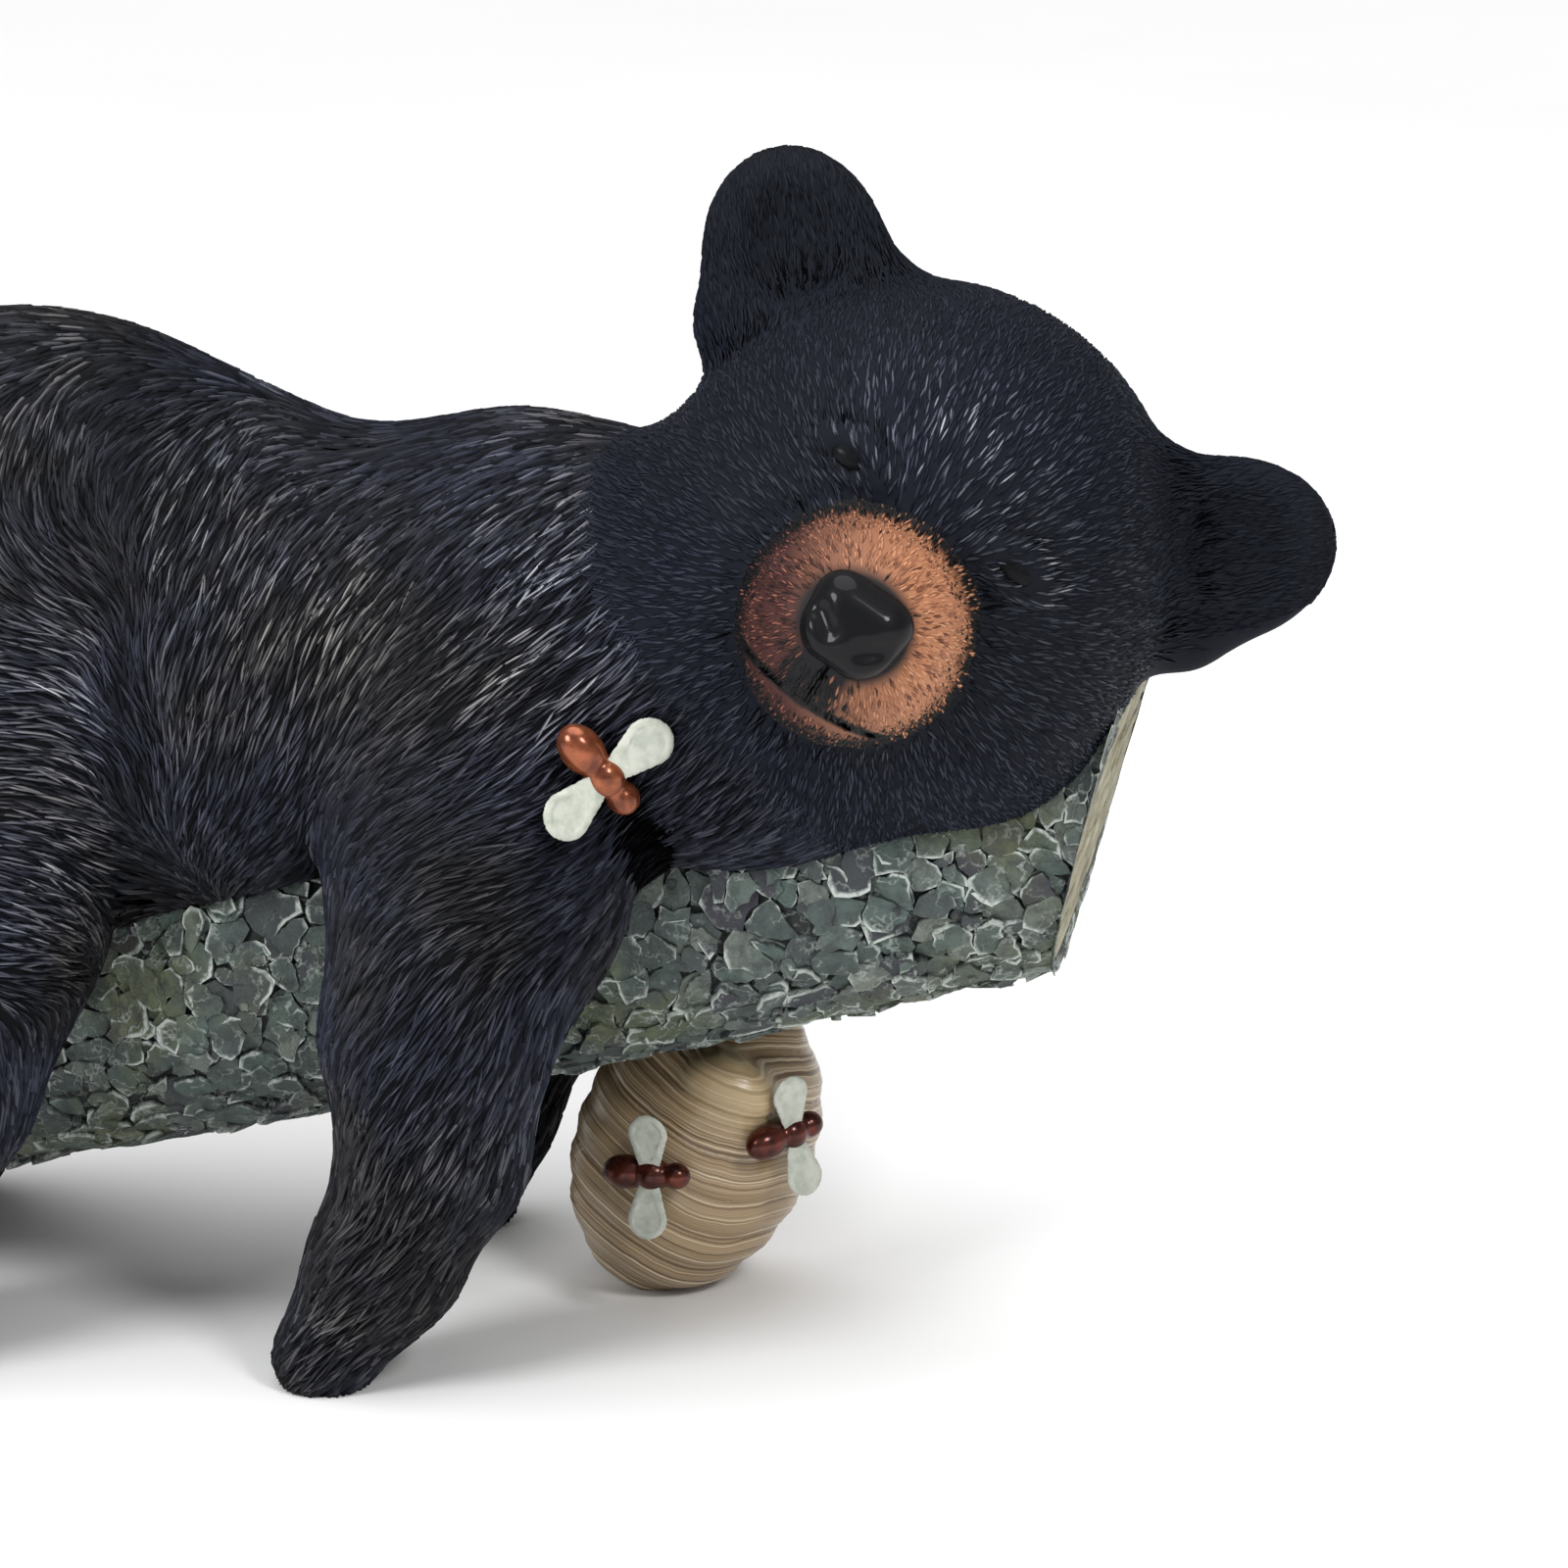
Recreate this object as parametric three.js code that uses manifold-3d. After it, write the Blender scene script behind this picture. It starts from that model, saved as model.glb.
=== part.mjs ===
// A resin garden statue: a bear cub asleep along a leaning branch, with a beehive under the branch
// and three bees. Millimetres, +Z up. The forms are laid out with the branch in the plane y = 0 and
// the cub's face towards -Y, and the finished statue is then centred over its own footprint.
import * as THREE from 'three';
import { mergeVertices } from 'three/addons/utils/BufferGeometryUtils.js';
import Module from 'manifold-3d';

const wasm = await Module();
wasm.setup();
const degrees = THREE.MathUtils.degToRad;

// Where the statue stands in the layout: the middle of its footprint and the height of its soles
const FOOTPRINT = { x: -7.3, y: -9.65, sole: 3 };
const GAP = 0.4;

// Where the faceted skins are laid, as two corners of a grid and its step
const GRID = {
  trunk: { low: [-155, -85, -12], high: [140, 85, 225], step: 9.6 },
  face: { low: [-70, -95, -65], high: [70, 65, 75], step: 8 },
  ears: { low: [-84, -15, 10], high: [84, 25, 75], step: 6 },
};

// Facets round and down each small egg
const FACETS = { eyelid: [10, 6], snout: [12, 8], bead: [6, 4], wing: [8, 3] };

// The branch: its axis leans up towards +X through one point, from a flared butt to a slanted saw cut
const BRANCH = {
  radius: 33.5,
  through: [51.4, 0, 93.4],
  leanDegrees: 13,
  buttReach: 268,
  tipReach: 125,
  saw: { point: [155, 0, 108], slantDegrees: 14, yawDegrees: 5 },
  swell: { height: 2.2, length: 70 },
  flare: { height: 5, length: 30 },
  bark: { depth: 0.9, turns: 5, twist: 2, pitch: 7, row: 5.2 },
  sides: 28,
  rings: 28,
};

// The cub's trunk: forms with a centre and three radii, some tipped about the y axis
const TRUNK = {
  rump: { centre: [-64, 0, 146], radii: [70, 55, 66] },
  loin: { centre: [-14, 0, 142], radii: [60, 52, 48] },
  chest: { centre: [38, 0, 143], radii: [42, 52, 50] },
  neck: { centre: [72, -4, 147], radii: [36, 44, 39] },
  throat: { centre: [92, -14, 132], radii: [34, 36, 26] },
  thigh: { centre: [-76, -38, 122], radii: [36, 25, 58], tip: -8 },
  shoulder: { centre: [36, -38, 118], radii: [30, 22, 44], tip: -6 },
};

// Limbs as chains of joints: place and radius. The far hind leg mirrors the near one, and the far fore
// leg hangs straighter
const LIMBS = {
  hindLeg: [
    [-69, -46, 96, 26], [-78, -50, 65, 22], [-92, -52, 38, 18], [-105, -53, 16, 15], [-113, -53, 9, 13],
  ],
  foreLeg: [[32, -44, 111, 25], [28, -50, 77, 21], [27, -50, 53, 17], [17, -50, 30, 13.5], [4, -50, 9, 10]],
  farForeLeg: [[33, 44, 111, 25], [29, 50, 77, 21], [28, 50, 53, 17], [22, 50, 30, 13.5], [17, 50, 10, 11]],
  tail: [[-128, 0, 132, 11], [-139, 0, 122, 8]],
};

// The head in its own frame: x to the cub's left ear, y to the back of the skull, z to the crown
const HEAD = { centre: [114.8, -12, 164], rollDegrees: 34, nodDegrees: -13, turnDegrees: 4.5 };
const FACE = {
  skull: { centre: [0, 4, 6], radii: [53, 50, 55] },
  cheek: { centre: [23, -10, -12], radii: [26, 30, 22] },
  brow: { centre: [0, -24, 20], radii: [36, 22, 22] },
  muzzle: [[0, -34, -11, 24], [0, -57, -12, 20]],
  jaw: { centre: [0, -48, -25], radii: [14, 22, 10] },
  nose: { centre: [0, -73, -11.5], radii: [10.2, 7.7, 9.2] },
  eyelid: { centre: [19, -44, 15], radii: [9, 6, 5.5] },
  earFlap: { centre: [51, 6, 41], radii: [18.5, 9, 23.5], tip: 45 },
  earBase: { centre: [44, 8, 34], radii: [22.5, 11, 15], tip: 45 },
  earCup: { centre: [55, -5, 45], radii: [12.5, 8, 15], tip: 45 },
};

// How softly neighbouring forms run into each other
const SOFT = { trunk: 18, limb: 10, joint: 8, tail: 6, head: 16, muzzle: 5, ear: 6, cup: 3 };

// The hive: an egg of coils, leaning, pressed against the branch and standing on the ground
const HIVE = {
  centre: [71.5, 17, 34.8],
  width: 47.5,
  height: 69,
  leanDegrees: 24,
  coils: 8,
  coilDepth: 0.8,
  sides: 18,
};

// A bee in its own frame: x to its head, z away from what it sits on
const BEE = {
  abdomen: { centre: [-4.6, 0, 3.5], radii: [5, 3.6, 3.4] },
  thorax: { centre: [1.4, 0, 3.7], radii: [3.7, 3.5, 3.4] },
  head: { centre: [6.4, 0, 3.3], radii: [3, 2.8, 2.8] },
  wing: { root: [1.2, 1.5, 5], length: 13, width: 9.5, thickness: 1.6, liftDegrees: 8 },
};

// Each bee starts in front of what it sits on and is moved back onto it
const BEES = [
  {
    name: 'bee_shoulder', paint: 'copper', size: 1.18,
    on: 'trunk', start: [60, -120, 134], heading: [0.66, 0, -0.75],
  },
  {
    name: 'bee_hive_front', paint: 'mahogany', size: 1,
    on: 'hive', start: [65.5, -60, 36], heading: [1, 0, 0],
  },
  {
    name: 'bee_hive_side', paint: 'mahogany', size: 1,
    on: 'hive', start: [90, -60, 43], heading: [0.6, 0.9, 0.15],
  },
];

const PAINT = {
  casting: { color: 0x1b1a1d, roughness: 0.55, metalness: 0 },
  hive: { color: 0xa88c66, roughness: 0.4, metalness: 0 },
  copper: { color: 0x8a4a2c, roughness: 0.3, metalness: 0.4 },
  mahogany: { color: 0x4a2018, roughness: 0.3, metalness: 0.4 },
};

// Signed distances: each form gives a point's distance to its skin, negative inside
function ellipsoid({ centre, radii, tip = 0 }) {
  const cos = Math.cos(degrees(tip));
  const sin = Math.sin(degrees(tip));
  const core = -Math.min(...radii);
  return (x, y, z) => {
    const along = x - centre[0];
    const up = z - centre[2];
    const px = (along * cos - up * sin) / radii[0];
    const py = (y - centre[1]) / radii[1];
    const pz = (along * sin + up * cos) / radii[2];
    const reach = Math.hypot(px, py, pz);
    const slope = Math.hypot(px / radii[0], py / radii[1], pz / radii[2]);
    return slope > 0 ? (reach * (reach - 1)) / slope : core;
  };
}

function bone([ax, ay, az, aRadius], [bx, by, bz, bRadius]) {
  const span = [bx - ax, by - ay, bz - az];
  const lengthSquared = span[0] ** 2 + span[1] ** 2 + span[2] ** 2;
  return (x, y, z) => {
    const along = ((x - ax) * span[0] + (y - ay) * span[1] + (z - az) * span[2]) / lengthSquared;
    const t = THREE.MathUtils.clamp(along, 0, 1);
    const away = Math.hypot(x - ax - t * span[0], y - ay - t * span[1], z - az - t * span[2]);
    return away - aRadius - t * (bRadius - aRadius);
  };
}

function blend(softness, ...forms) {
  return (x, y, z) => {
    let distance = forms[0](x, y, z);
    for (const form of forms.slice(1)) {
      const other = form(x, y, z);
      const overlap = Math.max(softness - Math.abs(distance - other), 0) / softness;
      distance = Math.min(distance, other) - (overlap * overlap * softness) / 4;
    }
    return distance;
  };
}

function carve(softness, form, hollow) {
  const outside = blend(softness, (x, y, z) => -form(x, y, z), hollow);
  return (x, y, z) => -outside(x, y, z);
}

function limb(softness, joints) {
  return blend(softness, ...joints.slice(1).map((joint, i) => bone(joints[i], joint)));
}

const nearAndFar = (form) => (x, y, z) => form(x, -Math.abs(y), z);
const leftAndRight = (form) => (x, y, z) => form(Math.abs(x), y, z);

function slopeOf(form, [x, y, z]) {
  const reach = 0.05;
  const rise = (dx, dy, dz) => form(x + dx, y + dy, z + dz) - form(x - dx, y - dy, z - dz);
  return [rise(reach, 0, 0), rise(0, reach, 0), rise(0, 0, reach)].map((v) => v / (2 * reach));
}

// Moves a point straight onto a form's skin
function settle(form, point) {
  const rounds = 4;
  const leastSteep = 0.2;
  let spot = point;
  for (let round = 0; round < rounds; round += 1) {
    const slope = slopeOf(form, spot);
    const steep = Math.max(slope[0] ** 2 + slope[1] ** 2 + slope[2] ** 2, leastSteep);
    const shift = form(...spot) / steep;
    spot = spot.map((v, axis) => v - shift * slope[axis]);
  }
  return spot;
}

// A grid of a form's distances between two corners
function sample(form, low, high, step) {
  const count = low.map((start, axis) => Math.ceil((high[axis] - start) / step) + 1);
  const stride = [1, count[0], count[0] * count[1]];
  const total = stride[2] * count[2];
  const indexOn = (cell, axis) => Math.floor(cell / stride[axis]) % count[axis];
  const place = (cell) => [0, 1, 2].map((axis) => low[axis] + step * indexOn(cell, axis));
  const value = Array.from({ length: total }, (_, cell) => form(...place(cell)));
  const isCell = (cell) => [0, 1, 2].every((axis) => indexOn(cell, axis) < count[axis] - 1);
  return { stride, total, place, value, isCell };
}

// The twelve edges of a grid cell, as pairs of corners
function cellEdges() {
  const corners = [0, 1, 2, 3, 4, 5, 6, 7].map((bits) => [bits & 1, (bits >> 1) & 1, bits >> 2]);
  const apart = (a, b) => a.filter((v, axis) => v !== b[axis]).length;
  return corners.flatMap((a, i) => corners.slice(i + 1).filter((b) => apart(a, b) === 1).map((b) => [a, b]));
}

// Where the skin crosses a cell's edges, averaged, as fractions of the cell
function crossingMean({ stride, value }, edges, cell) {
  const at = (corner) => value[cell + corner[0] * stride[0] + corner[1] * stride[1] + corner[2] * stride[2]];
  const crossed = edges.filter(([a, b]) => at(a) < 0 !== at(b) < 0);
  const cuts = crossed.map(([a, b]) => {
    const share = at(a) / (at(a) - at(b));
    return a.map((v, axis) => v + share * (b[axis] - v));
  });
  if (!cuts.length) return null;
  return [0, 1, 2].map((axis) => cuts.reduce((sum, cut) => sum + cut[axis], 0) / cuts.length);
}

// A closed skin over a form: a point in each cell that the skin crosses, and a quad across each crossed edge
function skin(form, { low, high, step }) {
  const grid = sample(form, low, high, step);
  const edges = cellEdges();
  const points = [];
  const pointIn = new Map();
  for (let cell = 0; cell < grid.total; cell += 1) {
    const mean = grid.isCell(cell) ? crossingMean(grid, edges, cell) : null;
    if (!mean) continue;
    const corner = grid.place(cell);
    pointIn.set(cell, points.length);
    points.push(settle(form, mean.map((v, axis) => corner[axis] + v * step)));
  }
  const apart = (a, b) => Math.hypot(...points[a].map((v, axis) => v - points[b][axis]));
  const faces = [];
  for (let cell = 0; cell < grid.total; cell += 1) {
    for (let axis = 0; axis < 3; axis += 1) {
      const next = cell + grid.stride[axis];
      if (next >= grid.total || grid.value[cell] < 0 === grid.value[next] < 0) continue;
      const [across, beside] = [grid.stride[(axis + 1) % 3], grid.stride[(axis + 2) % 3]];
      const ring = [cell - across - beside, cell - beside, cell, cell - across].map((c) => pointIn.get(c));
      const [a, b, c, d] = grid.value[cell] < 0 ? ring : ring.reverse();
      faces.push(...(apart(a, c) < apart(b, d) ? [a, b, c, a, c, d] : [b, c, d, b, d, a]));
    }
  }
  return indexed(points.flat(), faces);
}

function indexed(positions, faces) {
  const geometry = new THREE.BufferGeometry();
  geometry.setAttribute('position', new THREE.Float32BufferAttribute(positions, 3));
  geometry.setIndex(faces);
  return geometry;
}

// Joining and cutting
function solid(geometry) {
  const bare = geometry.clone();
  bare.deleteAttribute('normal');
  bare.deleteAttribute('uv');
  const merged = mergeVertices(bare);
  const vertProperties = Float32Array.from(merged.attributes.position.array);
  const triVerts = Uint32Array.from(merged.index.array);
  return new wasm.Manifold(new wasm.Mesh({ numProp: 3, vertProperties, triVerts }));
}

function geometryOf(body) {
  const mesh = body.getMesh();
  const geometry = indexed(mesh.vertProperties, [...mesh.triVerts]);
  geometry.computeVertexNormals();
  return geometry;
}

function egg({ centre, radii }, facets) {
  return solid(new THREE.SphereGeometry(1, ...facets).scale(...radii).translate(...centre));
}

// A block whose top face lies in the placed xy plane
function blockUnder(placement) {
  const size = 600;
  return solid(new THREE.BoxGeometry(size, size, size).translate(0, 0, -size / 2).applyMatrix4(placement));
}

const ground = blockUnder(new THREE.Matrix4().setPosition(0, 0, FOOTPRINT.sole));

// The cub's trunk and limbs
function trunkForm() {
  const { rump, loin, chest, neck, throat, thigh, shoulder } = TRUNK;
  const torso = blend(SOFT.trunk, ...[rump, loin, chest, neck, throat].map(ellipsoid));
  const tailed = blend(SOFT.limb, torso, limb(SOFT.tail, LIMBS.tail));
  const hindLeg = blend(SOFT.limb, ellipsoid(thigh), limb(SOFT.limb, LIMBS.hindLeg));
  const foreLegs = [LIMBS.foreLeg, LIMBS.farForeLeg].map((joints) => limb(SOFT.joint, joints));
  const shouldered = blend(SOFT.limb, nearAndFar(ellipsoid(shoulder)), ...foreLegs);
  return blend(SOFT.joint, tailed, nearAndFar(hindLeg), shouldered);
}

// The head: a smooth face with the ears, nose, jaw and eyelids set into it
function faceForm() {
  const { skull, cheek, brow, muzzle } = FACE;
  const round = blend(SOFT.head, ellipsoid(skull), leftAndRight(ellipsoid(cheek)), ellipsoid(brow));
  return blend(SOFT.muzzle, round, limb(SOFT.muzzle, muzzle));
}

function eyelidSolid(side) {
  const [aside, ...rest] = FACE.eyelid.centre;
  return egg({ centre: [side * aside, ...rest], radii: FACE.eyelid.radii }, FACETS.eyelid);
}

function headSolid() {
  const flap = blend(SOFT.ear, ellipsoid(FACE.earFlap), ellipsoid(FACE.earBase));
  const ear = carve(SOFT.cup, flap, ellipsoid(FACE.earCup));
  const ears = solid(skin(leftAndRight(ear), GRID.ears));
  const snout = [FACE.nose, FACE.jaw].map((bulge) => egg(bulge, FACETS.snout));
  const face = solid(skin(faceForm(), GRID.face));
  const features = [ears, eyelidSolid(1), eyelidSolid(-1), ...snout];
  const whole = features.reduce((head, feature) => head.add(feature), face);
  const { nodDegrees, rollDegrees, turnDegrees, centre } = HEAD;
  const pose = new THREE.Euler(degrees(nodDegrees), degrees(rollDegrees), degrees(turnDegrees), 'ZXY');
  const placement = new THREE.Matrix4().makeRotationFromEuler(pose).setPosition(...centre);
  return solid(geometryOf(whole).applyMatrix4(placement));
}

// The branch: a round of wood, swollen, flared at its butt and lumpy with bark plates
function branchGeometry(spare = 0) {
  const { radius, buttReach, tipReach, swell, flare, bark, sides, rings } = BRANCH;
  const rod = new THREE.CylinderGeometry(radius, radius, buttReach + tipReach, sides, rings);
  rod.translate(0, (tipReach - buttReach) / 2, 0);
  const spots = rod.attributes.position;
  for (let i = 0; i < spots.count; i += 1) {
    const [x, along, z] = [spots.getX(i), spots.getY(i), spots.getZ(i)];
    const around = Math.atan2(z, x);
    const plates = Math.sin(bark.turns * around + along / bark.pitch)
      * Math.sin(along / bark.row - bark.twist * around);
    const girth = swell.height * Math.cos(along / swell.length)
      + flare.height * Math.exp(-(along + buttReach) / flare.length);
    const stretch = 1 + (girth + bark.depth * plates + spare) / radius;
    spots.setXYZ(i, x * stretch, along, z * stretch);
  }
  const lean = new THREE.Matrix4().makeRotationY(degrees(-BRANCH.leanDegrees));
  lean.multiply(new THREE.Matrix4().makeRotationZ(degrees(-90)));
  return rod.applyMatrix4(lean.setPosition(...BRANCH.through));
}

function sawnBranch() {
  const { point, slantDegrees, yawDegrees } = BRANCH.saw;
  const turn = new THREE.Euler(0, degrees(slantDegrees - 90), degrees(-yawDegrees), 'ZYX');
  const cut = new THREE.Matrix4().makeRotationFromEuler(turn).setPosition(...point);
  return solid(branchGeometry()).subtract(blockUnder(cut));
}

function castingGeometry() {
  const trunk = solid(skin(trunkForm(), GRID.trunk));
  return geometryOf(sawnBranch().add(trunk).add(headSolid()).subtract(ground));
}

// The hive
function hiveGeometry() {
  const rows = 2 * HIVE.coils;
  const profile = Array.from({ length: rows + 1 }, (_, row) => {
    const angle = (Math.PI * row) / rows - Math.PI / 2;
    const coil = row % 2 ? HIVE.coilDepth : 0;
    const radius = row % rows ? (HIVE.width / 2 + coil) * Math.cos(angle) : 0;
    return new THREE.Vector2(radius, (HIVE.height / 2) * Math.sin(angle));
  });
  const lean = new THREE.Matrix4().makeRotationY(degrees(HIVE.leanDegrees)).setPosition(...HIVE.centre);
  const coiled = new THREE.LatheGeometry(profile, HIVE.sides).rotateX(degrees(90)).applyMatrix4(lean);
  return geometryOf(solid(coiled).subtract(solid(branchGeometry(GAP))).subtract(ground));
}

function hiveForm() {
  const across = HIVE.width / 2 + HIVE.coilDepth;
  return ellipsoid({ centre: HIVE.centre, radii: [across, across, HIVE.height / 2], tip: HIVE.leanDegrees });
}

// The bees
function wingSolid(side) {
  const { root, length, width, thickness, liftDegrees } = BEE.wing;
  const paddle = new THREE.SphereGeometry(1, ...FACETS.wing).scale(width / 2, length / 2, thickness / 2);
  paddle.translate(0, side * (length / 2 + root[1]), 0).rotateX(degrees(side * liftDegrees));
  return solid(paddle.translate(root[0], 0, root[2]));
}

function beeSolid() {
  const beads = [BEE.abdomen, BEE.thorax, BEE.head].map((bead) => egg(bead, FACETS.bead));
  return [...beads, wingSolid(1), wingSolid(-1)].reduce((bee, bit) => bee.add(bit));
}

function seatedBee(form, { start, heading, size }) {
  const spot = new THREE.Vector3(...start);
  const reaches = 60;
  for (let reach = 0; reach < reaches; reach += 1) spot.y += form(...spot.toArray());
  const up = new THREE.Vector3(...slopeOf(form, spot.toArray())).normalize();
  const side = new THREE.Vector3().crossVectors(up, new THREE.Vector3(...heading)).normalize();
  const ahead = new THREE.Vector3().crossVectors(side, up);
  const seat = new THREE.Matrix4().makeBasis(ahead, side, up).setPosition(spot.addScaledVector(up, GAP));
  return geometryOf(beeSolid()).scale(size, size, size).applyMatrix4(seat);
}

// The statue
function piece(name, geometry, paint) {
  const mesh = new THREE.Mesh(geometry, new THREE.MeshStandardMaterial(PAINT[paint]));
  mesh.name = name;
  return mesh;
}

const carriers = { trunk: trunkForm(), hive: hiveForm() };
const statue = new THREE.Group();
statue.add(piece('bear_on_branch', castingGeometry(), 'casting'));
statue.add(piece('beehive', hiveGeometry(), 'hive'));
for (const bee of BEES) statue.add(piece(bee.name, seatedBee(carriers[bee.on], bee), bee.paint));
statue.position.set(-FOOTPRINT.x, -FOOTPRINT.y, -FOOTPRINT.sole);

export default statue;
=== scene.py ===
# The looks of a resin garden statue: a bear cub asleep along a leaning branch, with a beehive under
# the branch and three bees. Forms are laid out in millimetres, with the cub's face towards -y and the
# branch in the plane y = 0, and are moved into the frame when a piece is made.
import math

import bpy
import numpy as np
import openvdb
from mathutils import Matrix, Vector


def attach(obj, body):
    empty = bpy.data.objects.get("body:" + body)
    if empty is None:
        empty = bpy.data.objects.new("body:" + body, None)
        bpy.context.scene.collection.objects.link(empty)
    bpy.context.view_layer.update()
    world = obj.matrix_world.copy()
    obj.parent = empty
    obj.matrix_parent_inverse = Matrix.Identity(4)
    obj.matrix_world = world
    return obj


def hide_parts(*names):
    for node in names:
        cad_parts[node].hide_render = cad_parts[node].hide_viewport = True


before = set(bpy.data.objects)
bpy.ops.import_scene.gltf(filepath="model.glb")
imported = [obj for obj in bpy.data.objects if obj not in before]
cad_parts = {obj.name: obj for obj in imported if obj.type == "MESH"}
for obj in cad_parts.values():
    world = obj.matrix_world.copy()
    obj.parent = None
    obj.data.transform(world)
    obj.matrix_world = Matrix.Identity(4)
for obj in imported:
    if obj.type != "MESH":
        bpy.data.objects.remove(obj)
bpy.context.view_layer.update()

# From the layout to the frame, the ground, the random draws, and the node and slot of the casting
OFFSET = np.array([7.3, 9.65, -3.0])
MM = 0.001
SOLE = 3.0
SEED = 11
CASTING = ("bear_on_branch", "casting")

# The photograph's camera: what it looks at in the layout, from where, and its lens
CAMERA = {"target": (92.0, 0.0, 117.5), "azimuth": 6.0, "elevation": 15.0, "distance": 1100.0}
LENS = {"sensor": 36.0, "focal": 123.75}

# The branch: its axis leans up towards +x through one point, from a flared butt to a slanted saw cut
BRANCH = {"radius": 33.5, "through": (51.4, 0.0, 93.4), "lean": 13.0, "butt": -268.0, "tip": 125.0}
SAW = {"point": (155.0, 0.0, 108.0), "slant": 14.0, "yaw": 5.0}
SWELL = {"height": 2.2, "length": 70.0}
FLARE = {"height": 5.0, "length": 30.0}

# The cub's trunk: forms with a centre and three radii, some tipped about the y axis
RUMP = {"centre": (-64, 0, 146), "radii": (70, 55, 66)}
LOIN = {"centre": (-14, 0, 142), "radii": (60, 52, 48)}
CHEST = {"centre": (38, 0, 143), "radii": (42, 52, 50)}
NECK = {"centre": (72, -4, 147), "radii": (36, 44, 39)}
THROAT = {"centre": (92, -14, 132), "radii": (34, 36, 26)}
THIGH = {"centre": (-76, -38, 122), "radii": (36, 25, 58), "tip": -8}
SHOULDER = {"centre": (36, -38, 118), "radii": (30, 22, 44), "tip": -6}

# Limbs as chains of joints: place and radius. The far hind leg mirrors the near one, and the far fore
# leg hangs straighter
HIND_LEG = [
    (-69, -46, 96, 26), (-78, -50, 65, 22), (-92, -52, 38, 18), (-105, -53, 16, 15), (-113, -53, 9, 13),
]
FORE_LEG = [(32, -44, 111, 25), (28, -50, 77, 21), (27, -50, 53, 17), (17, -50, 30, 13.5), (4, -50, 9, 10)]
FAR_FORE_LEG = [(33, 44, 111, 25), (29, 50, 77, 21), (28, 50, 53, 17), (22, 50, 30, 13.5), (17, 50, 10, 11)]
TAIL = [(-128, 0, 132, 11), (-139, 0, 122, 8)]

# The head in its own frame: x to the cub's left ear, y to the back of the skull, z to the crown
HEAD = {"centre": (114.8, -12.0, 164.0), "roll": 34.0, "nod": -13.0, "turn": 4.5}
SKULL = {"centre": (0, 4, 6), "radii": (53, 50, 55)}
CHEEK = {"centre": (23, -10, -12), "radii": (26, 30, 22)}
BROW = {"centre": (0, -24, 20), "radii": (36, 22, 22)}
MUZZLE = [(0, -34, -11, 24), (0, -57, -12, 20)]
JAW = {"centre": (0, -48, -25), "radii": (14, 22, 10)}
NOSE = {"centre": (0, -73, -11.5), "radii": (9.8, 8.4, 8.8)}
NOSE_EDGE = 6.3
NOSE_NARROWING = 0.012
NOSTRIL = [(4.0, -81.6, -15.0, 1.3), (6.8, -80.2, -12.6, 0.9)]

# The muzzle has a skin of its own, as far as this from its middle line and back to y, over a sunken face
MUZZLE_EDGE = 23.0
MUZZLE_BACK = -37.0
MUZZLE_MIDDLE = -11.5
MUZZLE_SINK = 5.0

# The lips: a line across the muzzle that rises to its corners, and an upright one from the nose down to it
MOUTH_LINE = -28.4
MOUTH_RISE = 0.008
MOUTH_BACK = -46.0
PHILTRUM = {"top": -18.0, "back": -60.0}
LIP_GAP = 0.55
GROOVE_DEPTH = 1.7

# Eyes, lids and ears, and how far out along the skull an ear begins and is all ear
EYE = {"spot": (19, -46, 14.5), "radii": (5.4, 3.4, 3.3), "sunk": 2.5}
EYE_SOCKET = {"raised": 5.2, "radii": (10.5, 7, 8)}
UPPER_LID = {"height": 3.2, "droop": 3.8, "radius": 2.5}
LOWER_LID = {"height": -3.4, "droop": -2.2, "radius": 1.3}
LID_REACH = 8.0
LID_JOINTS = 7
EAR_FLAP = {"centre": (51, 6, 41), "radii": (18.5, 9, 23.5), "tip": 45}
EAR_BASE = {"centre": (44, 8, 34), "radii": (22.5, 11, 15), "tip": 45}
EAR_CUP = {"centre": (55, -5, 45), "radii": (12.5, 8, 15), "tip": 45}
EAR_ROOT = (48.0, 56.0)

# How softly neighbouring forms run into each other
SOFT = {
    "trunk": 18, "limb": 10, "joint": 8, "tail": 6, "head": 16, "muzzle": 5, "jaw": 1.5, "neck": 12,
    "ear": 8, "flap": 6, "cup": 3, "socket": 5, "lids": 3, "lid": 1, "nostril": 3, "nostril_bend": 1,
    "knot": 8, "entrance": 1.5, "bee": 0.8,
}

# The grid that each skin is cut on: two corners and a step
GRIDS = {
    "trunk": {"low": (-160, -90, -12), "high": (140, 90, 225), "step": 3.4},
    "head": {"low": (-90, -90, -68), "high": (90, 74, 90), "step": 1.7},
    "muzzle": {"low": (-32, -84, -44), "high": (32, -28, 20), "step": 0.95},
    "nose": {"low": (-15, -86, -24), "high": (15, -60, 2), "step": 0.55},
    "eyes": {"low": (-30, -58, 6), "high": (30, -34, 24), "step": 0.6},
    "hive": {"low": (29.5, -17, -5.2), "high": (113.5, 47, 74.8), "step": 0.75},
    "bee": {"low": (-12, -18, -2), "high": (12, 18, 12), "step": 0.42},
}

# The trunk is made in two halves that meet at x, and each runs on a little past it
SEAM = {"x": -36.0, "overlap": 2.0}

# Carved strokes of fur: length, width and height, how much these vary, and by how many degrees they stray
STROKE = {"trunk": (13.5, 1.1, 0.85), "head": (6.8, 0.85, 0.45), "muzzle": (4.2, 0.8, 0.3)}
STROKE_SPREAD = [(0.7, 1.25), (0.8, 1.2), (0.7, 1.2)]
STROKE_STRAY = 7.0

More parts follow.
